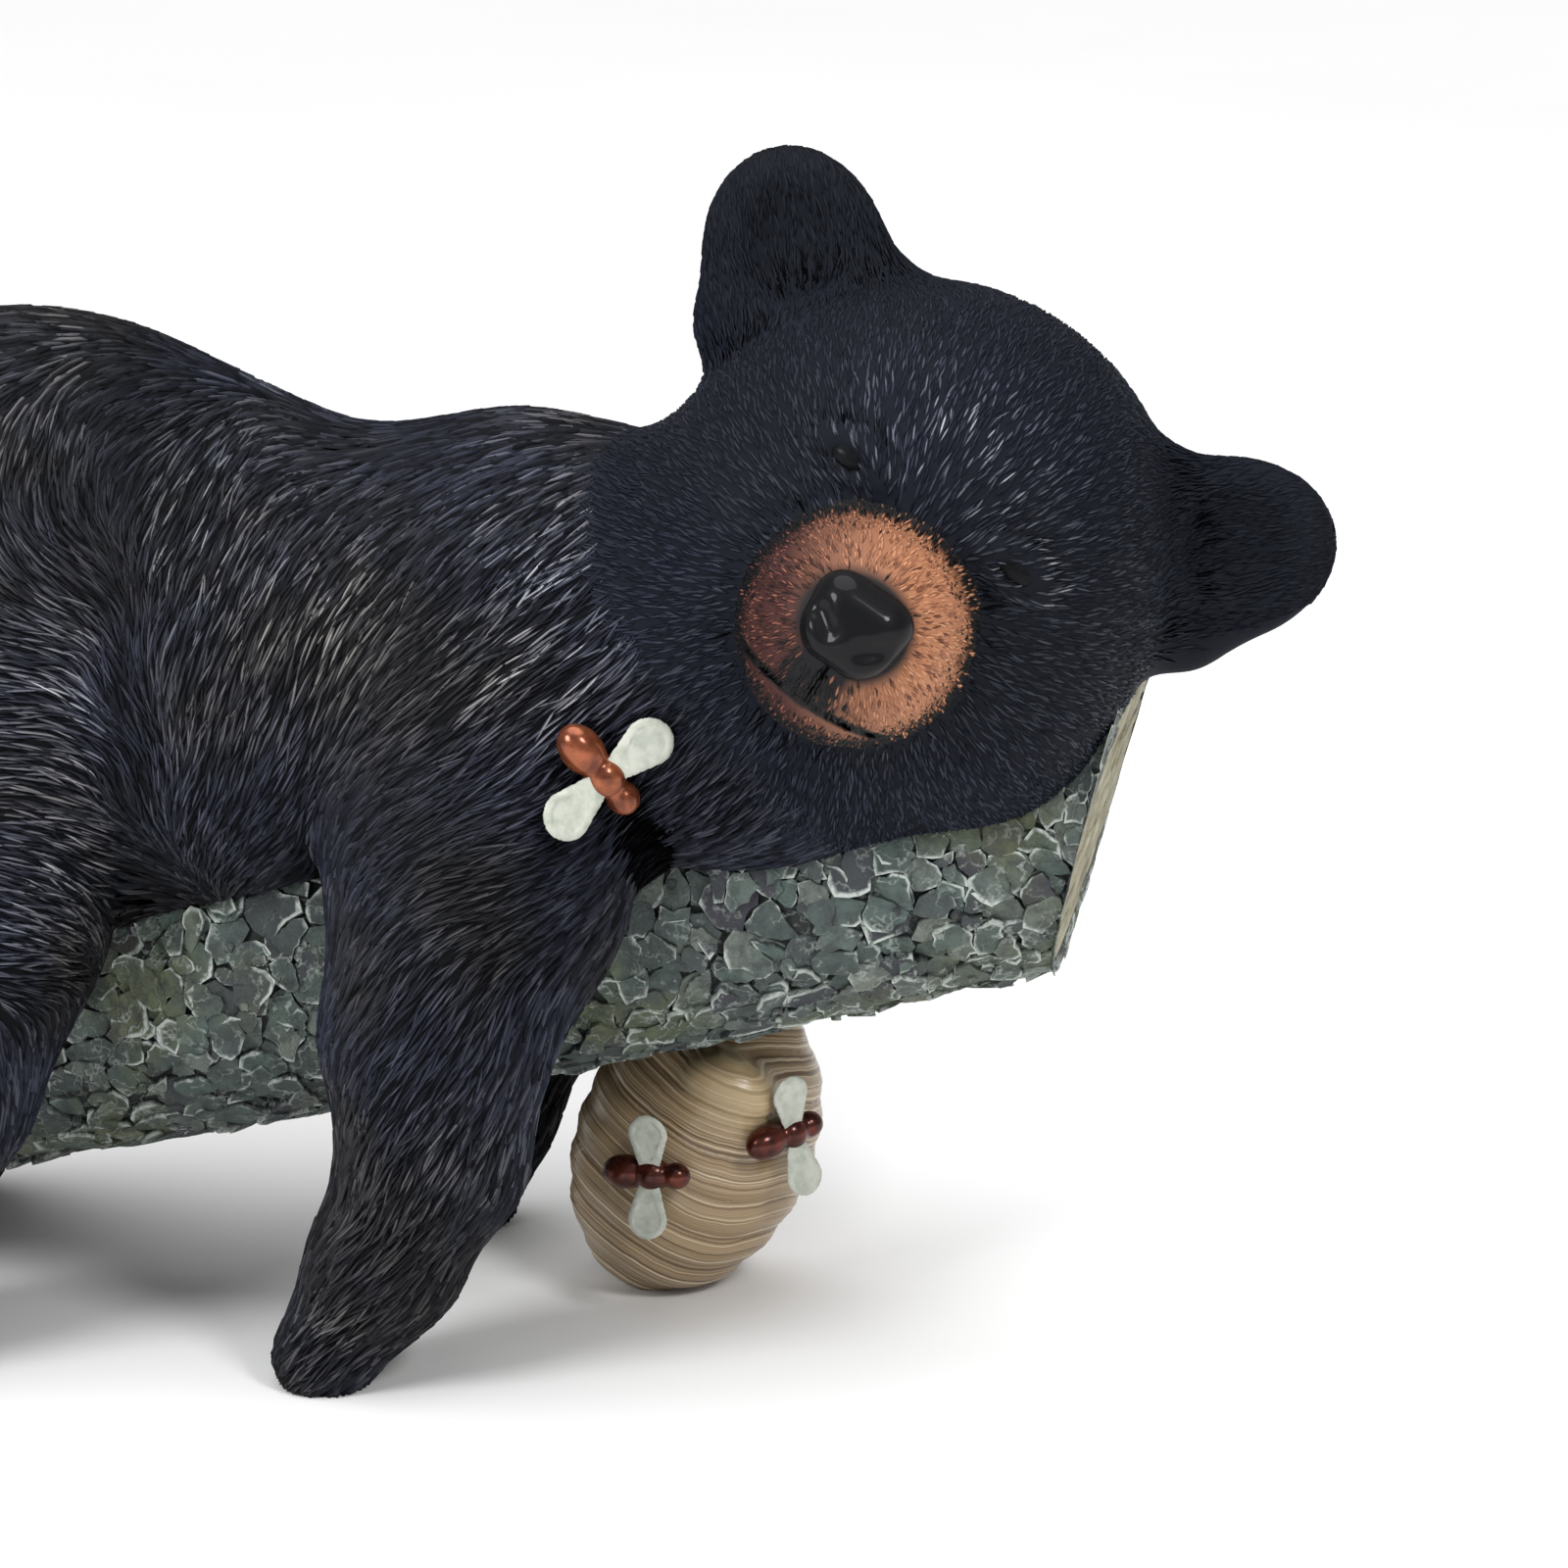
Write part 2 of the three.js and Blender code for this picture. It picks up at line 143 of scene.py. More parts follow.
# How closely strokes stand, and from which y on the trunk's fur is coarse
SPACING = {"fine": 1.75, "coarse": 3.2, "head": 1.6, "muzzle": 1.3}
COARSE_SIDE = 16.0

# Which way the fur lies on the trunk: x and z of a spot, and the way there in degrees from +x up to +z
FUR_LIES = [
    (-118, 190, 238), (-92, 208, 228), (-60, 212, 226), (-30, 202, 228), (0, 193, 230), (30, 194, 230),
    (60, 187, 236), (-115, 160, 255), (-122, 130, 268), (-98, 150, 310), (-80, 150, 340), (-85, 120, 340),
    (-54, 190, 258), (-56, 178, 300), (-50, 168, 328), (-52, 156, 350), (-54, 140, 357), (-50, 119, 352),
    (-66, 150, 355), (-66, 130, 358), (-58, 110, 355), (-43, 140, 336), (-43, 120, 330), (-34, 150, 288),
    (-33, 128, 280), (-20, 183, 248), (-20, 156, 250), (-16, 128, 248), (9, 175, 243), (4, 149, 245),
    (1, 119, 238), (41, 176, 236), (58, 168, 223), (55, 150, 215), (34, 143, 220), (27, 132, 217),
    (48, 114, 197), (68, 172, 245), (82, 124, 225), (28, 85, 235), (25, 60, 240), (10, 25, 225),
    (-76, 75, 275), (-90, 35, 255),
]

# How a spot's pull on the fur falls off with the squared distance from it
LIES_NEAR = 70.0
LIES_FALL = 2.5

# Fur on the head lies away from a place in the muzzle, and the muzzle's away from one before the nose. The
# tips of the ears pull it too, and so does the neck at the back of the head
FACE_FROM = (0.0, -66.0, -8.0)
MUZZLE_FROM = (0.0, -78.0, -10.0)
EAR_PULL = 2.0
NECK_PULL = 2.5
BEHIND = (0.0, 35.0)

# Pale paint on the trunk, both dry-brushing and painted highlight: x and z of each spot, its reach and its
# strength
PAINT_AND_GLINT_SPOTS = [
    (-50, 146, 26, 0.54), (-50, 112, 20, 0.54), (-45, 205, 18, 0.55), (-16, 180, 20, 0.64),
    (6, 168, 20, 0.64), (52, 176, 20, 0.72), (54, 158, 20, 0.68), (-95, 185, 30, 0.5),
    (40, 65, 12, 0.25), (12, 20, 10, 0.3),
]
PAINT_ELSEWHERE = 0.1

# The pale patch on the brow, the paint elsewhere on the head, a painted highlight on the left upper lid, and
# how much darker the ears are
BROW_PATCH = {"x": -2.0, "z": 27.0, "width": 22.0, "height": 17.0, "back": (-15.0, 10.0)}
HEAD_PAINT = {"least": 0.06, "patch": 0.8, "lid": 1.4}
EAR_SHADE = 0.7

# A stroke's tone: a dark base, how much it varies, and what the pale paint adds, partly dry-brushing and
# partly painted glints
TONE = {"base": 0.04, "spread": 0.34, "paint": 0.95}

# Colours of the fur from the hide to the palest stroke, whose near white is partly a painted glint
BODY_COOL = [(10, 11, 16), (45, 48, 61), (104, 106, 117), (206, 207, 212)]
BODY_WARM = [(10, 11, 13), (49, 49, 52), (112, 109, 106), (208, 206, 202)]
HEAD_COOL = [(18, 21, 30), (43, 47, 60), (90, 93, 104), (190, 192, 196)]
HEAD_WARM = [(18, 21, 28), (45, 48, 57), (92, 94, 101), (190, 191, 193)]

# Painted shade: how much darker the fur is on top, and how much darker round the fold between thigh and
# flank
TOP_SHADE = 0.72
FOLD = {"x": -35.0, "reach": 8.0, "shade": 0.55}

# The hive: a leaning egg with a knot of coils, pressed against the branch and standing on the ground
HIVE = {"centre": (71.5, 17, 34.8), "width": 49.1, "height": 69.0, "lean": 24.0}
KNOT = {"centre": (81.6, -4.4, 53.0), "radii": (8.5, 4.6, 6.4), "tip": 30.0}
ENTRANCE = {"centre": (94.0, -6.0, 60.0), "radii": (3.4, 6.0, 6.5), "tip": 15.0}
COIL = {"pitch": 9.3, "height": 0.8, "sunk": 0.3}

# The bark: flakes in two layers, with how many lie round and along the branch, the share that is kept, how
# high they lie and how steeply they tilt, over a core with a grid of points and rings at its sawn ends
UNDER_LAYER = {"counts": (32, 56), "share": 1.0, "lifts": (-1.1, 0.0), "steep": 0.1}
UPPER_LAYER = {"counts": (42, 72), "share": 0.6, "lifts": (-0.3, 0.5), "steep": 0.13}
FLAKE_SIDES = 14
FLAKE_REACH = {"least": 1.0, "most": 8.5}
FLAKE_DEPTH = 2.0
CORE_GRID = (112, 72)
CORE_RINGS = 18
CORE_DEPTH = 1.9
CRACK_DEPTH = 1.1
CRISP = 35.0

# A bee in its own frame: x to its head, z away from what it sits on
BEE_BEADS = [
    {"centre": (-4.6, 0, 3.5), "radii": (5, 3.6, 3.4)},
    {"centre": (1.4, 0, 3.7), "radii": (3.7, 3.5, 3.4)},
    {"centre": (6.4, 0, 3.3), "radii": (3, 2.8, 2.8)},
]
WING = {"root": (1.2, 1.5, 5.0), "length": 11.8, "width": 8.8, "thickness": 1.6, "lift": 8.0}
WING_RIM = {"root": 2.2, "start": 5.0, "start_radius": 1.5, "width": 1.3, "floor": 0.22}
PERCH = 0.4

# Lights: a disc's place, size and power, an even sky's strength and spread, and the strength of the world
KEY_LIGHT = {"place": (-0.8, -1.0, 0.9), "size": 0.6, "power": 15.0}
SIDE_LIGHT = {"place": (0.76, -0.8, 0.94), "size": 0.3, "power": 7.0}
SKY = {"strength": 2.1, "spread": 60.0}
WORLD = 0.4
FLOOR = 6.0


# Turns, limits and directions
def turned(degrees, first, second):
    """The matrix of a turn by so many degrees from one axis towards another."""
    angle = math.radians(degrees)
    turn = np.eye(3)
    turn[first, first] = turn[second, second] = math.cos(angle)
    turn[second, first] = math.sin(angle)
    turn[first, second] = -math.sin(angle)
    return turn


def clamp(values):
    return np.clip(values, 0.0, 1.0)


def smooth(low, high, values):
    share = clamp((values - low) / (high - low))
    return share * share * (3.0 - 2.0 * share)


def unit(vectors):
    return vectors / np.maximum(np.linalg.norm(vectors, axis=-1, keepdims=True), 1e-9)


# Signed distances: each form gives the distance of many points to its skin, negative inside
def ellipsoid(centre, radii, tip=0.0):
    turn = turned(tip, 0, 2)
    middle, reach = np.array(centre, float), np.array(radii, float)

    def distance(points):
        scaled = (points - middle) @ turn.T / reach
        far = np.linalg.norm(scaled, axis=1)
        slope = np.linalg.norm(scaled / reach, axis=1)
        return far * (far - 1.0) / np.maximum(slope, 1e-6)

    return distance


def bone(start, end):
    a, b = np.array(start[:3], float), np.array(end[:3], float)
    span = b - a

    def distance(points):
        share = clamp((points - a) @ span / (span @ span))
        away = np.linalg.norm(points - a - share[:, None] * span, axis=1)
        return away - start[3] - share * (end[3] - start[3])

    return distance


def blend(softness, *forms):
    def distance(points):
        near = forms[0](points)
        for form in forms[1:]:
            other = form(points)
            overlap = np.maximum(softness - np.abs(near - other), 0.0) / softness
            near = np.minimum(near, other) - overlap * overlap * softness / 4.0
        return near

    return distance


def carve(softness, form, hollow):
    outside = blend(softness, lambda points: -form(points), hollow)
    return lambda points: -outside(points)


def limb(softness, joints):
    return blend(softness, *[bone(a, b) for a, b in zip(joints, joints[1:])])


def near_and_far(form):
    return lambda points: form(points * (1, 0, 1) - np.abs(points * (0, 1, 0)))


def left_and_right(form):
    return lambda points: form(points * (0, 1, 1) + np.abs(points * (1, 0, 0)))


def slope_of(form, points, reach=0.1):
    rises = [form(points + step) - form(points - step) for step in np.eye(3) * reach]
    return np.stack(rises, axis=1) / (2.0 * reach)


def normal_of(form, points):
    return unit(slope_of(form, points))


def settle(form, points, rounds=3):
    """Moves points straight onto a form's skin."""
    for _ in range(rounds):
        slope = slope_of(form, points)
        steep = np.maximum((slope**2).sum(axis=1), 0.2)
        points = points - (form(points) / steep)[:, None] * slope
    return points


# Bodies of points, faces and marks, a mark being a number on each point for the materials to read
def body_of(points, faces, **marks):
    return {"points": points, "faces": faces, "marks": marks}


def gather(bodies):
    starts = np.cumsum([0] + [len(body["points"]) for body in bodies[:-1]])
    points = np.concatenate([body["points"] for body in bodies])
    faces = np.concatenate([body["faces"] + start for body, start in zip(bodies, starts)])
    names = bodies[0]["marks"]
    marks = {name: np.concatenate([body["marks"][name] for body in bodies]) for name in names}
    return body_of(points, faces, **marks)


def on_ground(body):
    """A body with whatever would reach under the soles pressed up to them."""
    body["points"][:, 2] = np.maximum(body["points"][:, 2], SOLE)
    return body


def split(quads):
    return np.concatenate([quads[:, (0, 1, 2)], quads[:, (0, 2, 3)]])


def skin(form, low, high, step):
    """A closed skin of triangles over a form, on a grid between two corners."""
    low = np.array(low, float)
    counts = np.ceil((np.array(high) - low) / step).astype(int) + 1
    axes = [start + step * np.arange(count) for start, count in zip(low, counts)]
    places = np.stack(np.meshgrid(*axes, indexing="ij"), axis=-1).reshape(-1, 3)
    reach = 4.0 * step
    values = np.clip(form(places), -reach, reach).reshape(counts)
    volume = openvdb.FloatGrid(reach)
    volume.copyFromArray(values.astype(np.float32))
    spots, quads = volume.convertToQuads(0.0)
    faces = split(quads).astype(int)
    points = settle(form, low + step * spots.astype(float))
    corners = points[faces]
    turned = np.cross(corners[:, 1] - corners[:, 0], corners[:, 2] - corners[:, 0])
    if (turned * corners[:, 0]).sum() < 0:
        faces = faces[:, ::-1]
    return points, faces


def scatter(points, faces, cell, rng):
    """Random spots on a skin, about one in each small cube that it passes through."""
    corners = points[faces]
    across = np.cross(corners[:, 1] - corners[:, 0], corners[:, 2] - corners[:, 0])
    area = np.linalg.norm(across, axis=1) / 2.0
    count = int(6.0 * area.sum() / cell**2)
    chosen = corners[rng.choice(len(faces), count, p=area / area.sum())]
    share = rng.random((count, 2))
    share = np.where(share.sum(axis=1, keepdims=True) > 1.0, 1.0 - share, share)
    sides = chosen[:, 1:] - chosen[:, :1]
    spots = chosen[:, 0] + (share[:, :, None] * sides).sum(axis=1)
    _, first = np.unique(np.floor(spots / cell).astype(int), axis=0, return_index=True)
    return spots[np.sort(first)]


def strokes(form, flow, roots, size, tone, rng):
    """Carved strokes of fur: each is a closed sliver, with a ridge, that follows the flow over a form."""
    count = len(roots)
    lengths, widths, heights = (
        mean * rng.uniform(*spread, (count, 1)) for mean, spread in zip(size, STROKE_SPREAD)
    )
    stray = rng.normal(0.0, math.radians(STROKE_STRAY), (count, 1))
    path, ups = [roots], [normal_of(form, roots)]
    for _ in range(3):
        ahead = flow(path[-1])
        ahead = unit(ahead - (ahead * ups[-1]).sum(axis=1, keepdims=True) * ups[-1])
        ahead = np.cos(stray) * ahead + np.sin(stray) * np.cross(ups[-1], ahead)
        path.append(settle(form, path[-1] + ahead * lengths / 3.0, rounds=1))
        ups.append(normal_of(form, path[-1]))
    side = unit(np.cross(ups[1] + ups[2], path[2] - path[1]))
    middle = (path[1] + path[2]) / 2.0 - (ups[1] + ups[2]) * heights * 0.15
    spots = [
        path[0] - ups[0] * heights * 0.5,
        middle + side * widths / 2.0,
        middle - side * widths / 2.0,
        path[1] + ups[1] * heights,
        path[2] + ups[2] * heights * 0.9,
        path[3] - ups[3] * heights * 0.2,
    ]
    points = np.stack(spots, axis=1).reshape(-1, 3)
    pattern = [(0, 2, 3), (0, 3, 1), (3, 2, 4), (3, 4, 1), (4, 2, 5), (4, 5, 1), (0, 1, 5), (0, 5, 2)]
    faces = (np.array(pattern)[None] + 6 * np.arange(count)[:, None, None]).reshape(-1, 3)
    brush = np.zeros((count, 6))
    brush[:, 3:5] = tone[:, None]
    return points, faces, brush.ravel()


# The head's place in the layout
HEAD_TURN = turned(HEAD["turn"], 0, 1) @ turned(HEAD["nod"], 1, 2) @ turned(HEAD["roll"], 2, 0)


def from_head(points):
    return points @ HEAD_TURN.T + np.array(HEAD["centre"])


def to_head(points):
    return (points - np.array(HEAD["centre"])) @ HEAD_TURN


def placed(body):
    """A body made in the head's own frame, moved into the layout."""
    return body_of(from_head(body["points"]), body["faces"], **body["marks"])


# The cub's forms
def trunk_form():
    torso = blend(SOFT["trunk"], *[ellipsoid(**form) for form in (RUMP, LOIN, CHEST, NECK, THROAT)])
    tailed = blend(SOFT["limb"], torso, limb(SOFT["tail"], TAIL))
    hind_leg = blend(SOFT["limb"], ellipsoid(**THIGH), limb(SOFT["limb"], HIND_LEG))
    fore_legs = [limb(SOFT["joint"], joints) for joints in (FORE_LEG, FAR_FORE_LEG)]
    shouldered = blend(SOFT["limb"], near_and_far(ellipsoid(**SHOULDER)), *fore_legs)
    return blend(SOFT["joint"], tailed, near_and_far(hind_leg), shouldered)


def face_form():
    round_face = blend(
        SOFT["head"], ellipsoid(**SKULL), left_and_right(ellipsoid(**CHEEK)), ellipsoid(**BROW)
    )
    return blend(SOFT["muzzle"], round_face, limb(SOFT["muzzle"], MUZZLE))


def from_muzzle_axis(points):
    """How far points are from the line through the middle of the muzzle."""
    return np.hypot(points[:, 0], points[:, 2] - MUZZLE_MIDDLE)


def eye_place():
    """Where the left eye is on the face, and which way out is there."""
    spot = settle(face_form(), np.array([EYE["spot"]], float))
    return spot[0], normal_of(face_form(), spot)[0]


def eye_form():
    spot, out = eye_place()
    return left_and_right(ellipsoid(spot - EYE["sunk"] * out, EYE["radii"]))


def eyelid(height, droop, radius):
    """A fold of skin over or under each eye, as an arch on the face."""
    share = np.linspace(-1.0, 1.0, LID_JOINTS)
    arch = np.stack([LID_REACH * share, 0.0 * share, height - droop * share**2], axis=1)
    fold = settle(face_form(), eye_place()[0] + arch)
    fold = fold - normal_of(face_form(), fold)
    return left_and_right(limb(SOFT["lid"], [(*place, radius) for place in fold]))


def ear_form():
    flap = blend(SOFT["flap"], ellipsoid(**EAR_FLAP), ellipsoid(**EAR_BASE))
    return left_and_right(carve(SOFT["cup"], flap, ellipsoid(**EAR_CUP)))


def head_form():
    """The head with its ears and lids, sunk where the eyes are and where the muzzle covers it."""
    spot, out = eye_place()
    socket = ellipsoid(spot + EYE_SOCKET["raised"] * out, EYE_SOCKET["radii"])
    sunk = carve(SOFT["socket"], face_form(), left_and_right(socket))
    lids = blend(SOFT["lid"], eyelid(**UPPER_LID), eyelid(**LOWER_LID))
    face = blend(SOFT["lids"], sunk, lids)
    whole = blend(SOFT["ear"], face, ear_form())
    trunk = trunk_form()
    joined = blend(SOFT["neck"], whole, lambda points: trunk(from_head(points)))

    def distance(points):
        inside = np.minimum(MUZZLE_EDGE - from_muzzle_axis(points), MUZZLE_BACK - points[:, 1])
        necked = np.maximum(joined(points), whole(points) - SOFT["neck"] + 1.0)
        return necked + np.clip(inside, 0.0, MUZZLE_SINK)

    return distance


def branch_frame():
    """The ways along, across and up from the branch's axis."""
    return turned(BRANCH["lean"], 0, 2).T.copy()


def branch_radius(along):
    swell = SWELL["height"] * np.cos(along / SWELL["length"])
    return BRANCH["radius"] + swell + FLARE["height"] * np.exp((BRANCH["butt"] - along) / FLARE["length"])


def branch_form(points):
    axis, across, up = branch_frame()
    local = points - np.array(BRANCH["through"])
    return np.hypot(local @ across, local @ up) - branch_radius(local @ axis)


# Fur
def gaps(points, spots):
    """Squared distances, seen from the side, of points to spots."""
    return (points[:, None, 0] - spots[None, :, 0]) ** 2 + (points[:, None, 2] - spots[None, :, 1]) ** 2


def trunk_flow(points):
    lies = np.array(FUR_LIES, float)
    weight = 1.0 / (gaps(points, lies) + LIES_NEAR) ** LIES_FALL
    way = np.radians(lies[:, 2])
    return unit(weight @ np.stack([np.cos(way), np.zeros(len(way)), np.sin(way)], axis=1))


def on_ear(points):
    """0 on the face and 1 on the ears."""
    return smooth(*EAR_ROOT, (np.abs(points[:, 0]) + points[:, 2]) * math.sqrt(0.5))


def face_flow(points):
    """Fur lies away from the nose, on the ears towards their tips and behind towards the neck."""
    away = unit(points - np.array(FACE_FROM))
    to_tip = np.stack([np.sign(points[:, 0]), np.zeros(len(points)), np.ones(len(points))], axis=1)
    to_neck = -HEAD_TURN[0]
    behind = smooth(*BEHIND, points[:, 1])[:, None]
    return unit(away + EAR_PULL * on_ear(points)[:, None] * to_tip + NECK_PULL * behind * to_neck)


def dry_brush(paint, shade, rng):
    """How pale each stroke is: a dark base that painted shade darkens, and paint that some strokes caught,
    also painted glints.
    """
    chance = rng.random(len(paint))
    base = (TONE["base"] + TONE["spread"] * chance) * shade
    return clamp(base + TONE["paint"] * paint * chance**3)


def brushed(points):
    """How much pale paint there is at spots on the trunk, partly dry-brushing and partly painted highlight.
    """
    spots = np.array(PAINT_AND_GLINT_SPOTS, float)
    caught = spots[:, 3] * np.exp(-gaps(points, spots) / spots[:, 2] ** 2)
    return PAINT_ELSEWHERE + caught.max(axis=1)


def top_shade(rise):
    """The share of its tone that fur keeps where the skin faces up by so much, as painted shade on top."""
    return 1.0 - TOP_SHADE * clamp(rise)


def fold_shade(points):
    """The share of its tone that fur keeps round the fold between thigh and flank, as painted shade in the
    crease.
    """
    return 1.0 - FOLD["shade"] * np.exp(-(((points[:, 0] - FOLD["x"]) / FOLD["reach"]) ** 2))


def furred(form, points, faces, roots, flow, size, tone, rng):
    """A smooth hide with strokes of fur on it."""
    fur_points, fur_faces, brush = strokes(form, flow, roots, size, tone, rng)
    hide = body_of(points, faces, brush=np.zeros(len(points)))
    return gather([hide, body_of(fur_points, fur_faces, brush=brush)])


def cub_quarters(front, rng):
    """The trunk's front or hind half, with finer fur on the side that shows most."""
    form = trunk_form()
    sign = -1.0 if front else 1.0
    past_seam = lambda points: sign * (points[:, 0] - SEAM["x"])
    half = lambda points: np.maximum(form(points), past_seam(points) - SEAM["overlap"])
    points, faces = skin(half, **GRIDS["trunk"])
    fine, coarse = (scatter(points, faces, SPACING[key], rng) for key in ("fine", "coarse"))
    roots = np.concatenate([fine[fine[:, 1] < COARSE_SIDE], coarse[coarse[:, 1] >= COARSE_SIDE]])
    roots = settle(form, roots[np.abs(form(roots)) < 1.0])
    hidden = (branch_form(roots) < -2.0) | (head_form()(to_head(roots)) < -2.5)
    roots = roots[~hidden & (roots[:, 2] >= SOLE + 0.6) & (past_seam(roots) < 0.0)]
    tone = dry_brush(brushed(roots), top_shade(normal_of(form, roots)[:, 2]), rng) * fold_shade(roots)
    return on_ground(furred(form, points, faces, roots, trunk_flow, STROKE["trunk"], tone, rng))


def head_paint(points):
    """How much pale paint there is at spots on the head: a patch on the brow, and a painted highlight along
    the upper lid of the left eye.
    """
    across = (points[:, 0] - BROW_PATCH["x"]) / BROW_PATCH["width"]
    above = (points[:, 2] - BROW_PATCH["z"]) / BROW_PATCH["height"]
    brow = np.exp(-across**2 - above**2) * (1.0 - smooth(*BROW_PATCH["back"], points[:, 1]))
    # The left eye's upper lid gets a painted highlight along its crest
    lid = clamp(HEAD_PAINT["lid"] - eyelid(**UPPER_LID)(points)) * (points[:, 0] > 0.0)
    return HEAD_PAINT["least"] + HEAD_PAINT["patch"] * np.maximum(brow, lid)


def cub_head(rng):
    form = head_form()
    points, faces = skin(form, **GRIDS["head"])
    roots = settle(form, scatter(points, faces, SPACING["head"], rng))
    clear_of_muzzle = (from_muzzle_axis(roots) > MUZZLE_EDGE - 1.0) | (roots[:, 1] > MUZZLE_BACK)
    layout = from_head(roots)
    hidden = (trunk_form()(layout) < -2.0) | (branch_form(layout) < -2.0)
    roots = roots[clear_of_muzzle & (eye_form()(roots) > 0.3) & ~hidden]
    shade = top_shade(normal_of(form, roots) @ HEAD_TURN[2])
    tone = dry_brush(head_paint(roots), shade, rng) * (1.0 - EAR_SHADE * on_ear(roots))
    return placed(furred(form, points, faces, roots, face_flow, STROKE["head"], tone, rng))


# The muzzle, nose and eyes
def mouth_form(points):
    """The line between the lips, level across the front of the muzzle and rising to its corners."""
    line = MOUTH_LINE + MOUTH_RISE * points[:, 0] ** 2
    return np.maximum(np.abs(points[:, 2] - line) - LIP_GAP, points[:, 1] - MOUTH_BACK)


def off_philtrum(points, top, back):
    """How far points are above, below or behind the upright line, with its top and back at these places."""
    beyond = np.maximum(points[:, 2] - top, MOUTH_LINE - points[:, 2])
    return np.maximum(beyond, points[:, 1] - back)


def philtrum_form(points):
    """The upright line from the nose down to the mouth."""
    return np.maximum(np.abs(points[:, 0]) - LIP_GAP, off_philtrum(points, **PHILTRUM))


def muzzle_form():
    """The muzzle and jaw with the lines of the lips, a little proud of the face up to its edge."""
    face = blend(SOFT["jaw"], face_form(), ellipsoid(**JAW))

    def distance(points):
        gap = face(points)
        groove = np.minimum(mouth_form(points), philtrum_form(points))
        grooved = np.maximum(gap, -np.maximum(groove, -gap - GROOVE_DEPTH))
        past = np.maximum(from_muzzle_axis(points) - MUZZLE_EDGE, points[:, 1] - MUZZLE_BACK)
        return grooved - 0.2 + 0.9 * np.maximum(past, 0.0)

    return distance


def muzzle_marks(points, stray):
    """Soot round the nose, in the lip lines and at the edge, and the redder cheek side, for the paint."""
    nose = ellipsoid(**NOSE)(points)
    seam = np.abs(points[:, 0] + 0.6) + 1.6 * stray - 3.6
    beyond = off_philtrum(points, PHILTRUM["top"] - 1.0, PHILTRUM["back"] - 2.0)
    off_seam = seam / 5.0 + np.maximum(beyond, 0.0)
    soot = clamp(1.0 - np.minimum((nose + 0.8 * stray) / 3.4, off_seam))
    soot = np.maximum(soot, clamp(1.0 - mouth_form(points) / 0.7))
    soot = np.maximum(soot, smooth(20.0, 23.0, from_muzzle_axis(points) + stray))
    cheekward = 0.83 * points[:, 0] + 0.56 * (points[:, 2] - MUZZLE_MIDDLE)
    blush = clamp(0.5 - cheekward / 26.0)
    return {"soot": soot, "blush": blush}


def cub_muzzle(rng):
    form = muzzle_form()
    points, faces = skin(form, **GRIDS["muzzle"])
    roots = settle(form, scatter(points, faces, SPACING["muzzle"], rng))
    off_nose = ellipsoid(**NOSE)(roots) > 0.6
    roots = roots[off_nose & (roots[:, 1] < MUZZLE_BACK + 1.0) & (mouth_form(roots) > 0.5)]
    tone = rng.random(len(roots))
    away = lambda spots: unit(spots - np.array(MUZZLE_FROM))
    fur_points, fur_faces, brush = strokes(form, away, roots, STROKE["muzzle"], tone, rng)
    stray = np.repeat(rng.normal(0.0, 1.4, len(roots)), 6)
    hide = body_of(points, faces, brush=np.full(len(points), 0.3), **muzzle_marks(points, 0.0))
    fur = body_of(fur_points, fur_faces, brush=brush, **muzzle_marks(fur_points, stray))
    return placed(gather([hide, fur]))


def nose_pad(points):
    """A block with round edges, a little narrower below."""
    local = points - np.array(NOSE["centre"])
    local[:, 0] *= 1.0 - NOSE_NARROWING * local[:, 2]
    gap = np.abs(local) - (np.array(NOSE["radii"]) - NOSE_EDGE)
    return np.linalg.norm(np.maximum(gap, 0.0), axis=1) + np.minimum(gap.max(axis=1), 0.0) - NOSE_EDGE


def cub_nose():
    """The nose, with a shallow comma of a nostril on each side."""
    whole = nose_pad
    for side in (-1, 1):
        nostril = limb(SOFT["nostril_bend"], [(x * side, y, z, radius) for x, y, z, radius in NOSTRIL])
        whole = carve(SOFT["nostril"], whole, nostril)
    return placed(body_of(*skin(whole, **GRIDS["nose"])))


def cub_eyes():
    return placed(body_of(*skin(eye_form(), **GRIDS["eyes"])))


# The branch
def flake_outlines(counts, rng):
    """Flakes on the unrolled bark: their middles, how far each reaches on every side, and the ways there."""
    girth = 2 * math.pi * BRANCH["radius"]
    length = BRANCH["tip"] - BRANCH["butt"]
    column, row = np.meshgrid(*[np.arange(count) for count in counts], indexing="ij")
    middles = np.stack([column + 0.5 * (row % 2), row + 0.5], axis=-1)
    middles += rng.uniform(-0.45, 0.45, counts + (2,))
    middles *= (girth / counts[0], length / counts[1])
    weight = rng.uniform(-16.0, 16.0, counts)
    turn = np.arange(FLAKE_SIDES) * 2 * math.pi / FLAKE_SIDES
    ways = np.stack([np.cos(turn), np.sin(turn)])
    reach = np.full(counts + (FLAKE_SIDES,), FLAKE_REACH["most"])
    for shift in np.ndindex(5, 5):
        roll = (shift[0] - 2, shift[1] - 2)
        gap = np.roll(middles, roll, axis=(0, 1)) - middles
        gap[..., 0] -= girth * np.round(gap[..., 0] / girth)
        bisector = ((gap**2).sum(axis=-1) + weight - np.roll(weight, roll, axis=(0, 1))) / 2.0
        if roll != (0, 0):
            reach = np.minimum(reach, bisector[..., None] / np.maximum(gap @ ways, 1e-3))
    reach = np.maximum(reach, FLAKE_REACH["least"])
    return middles.reshape(-1, 2), reach.reshape(-1, FLAKE_SIDES), ways.T


def saw_normal():
    return (turned(-SAW["yaw"], 0, 1) @ turned(-SAW["slant"], 0, 2))[:, 0]


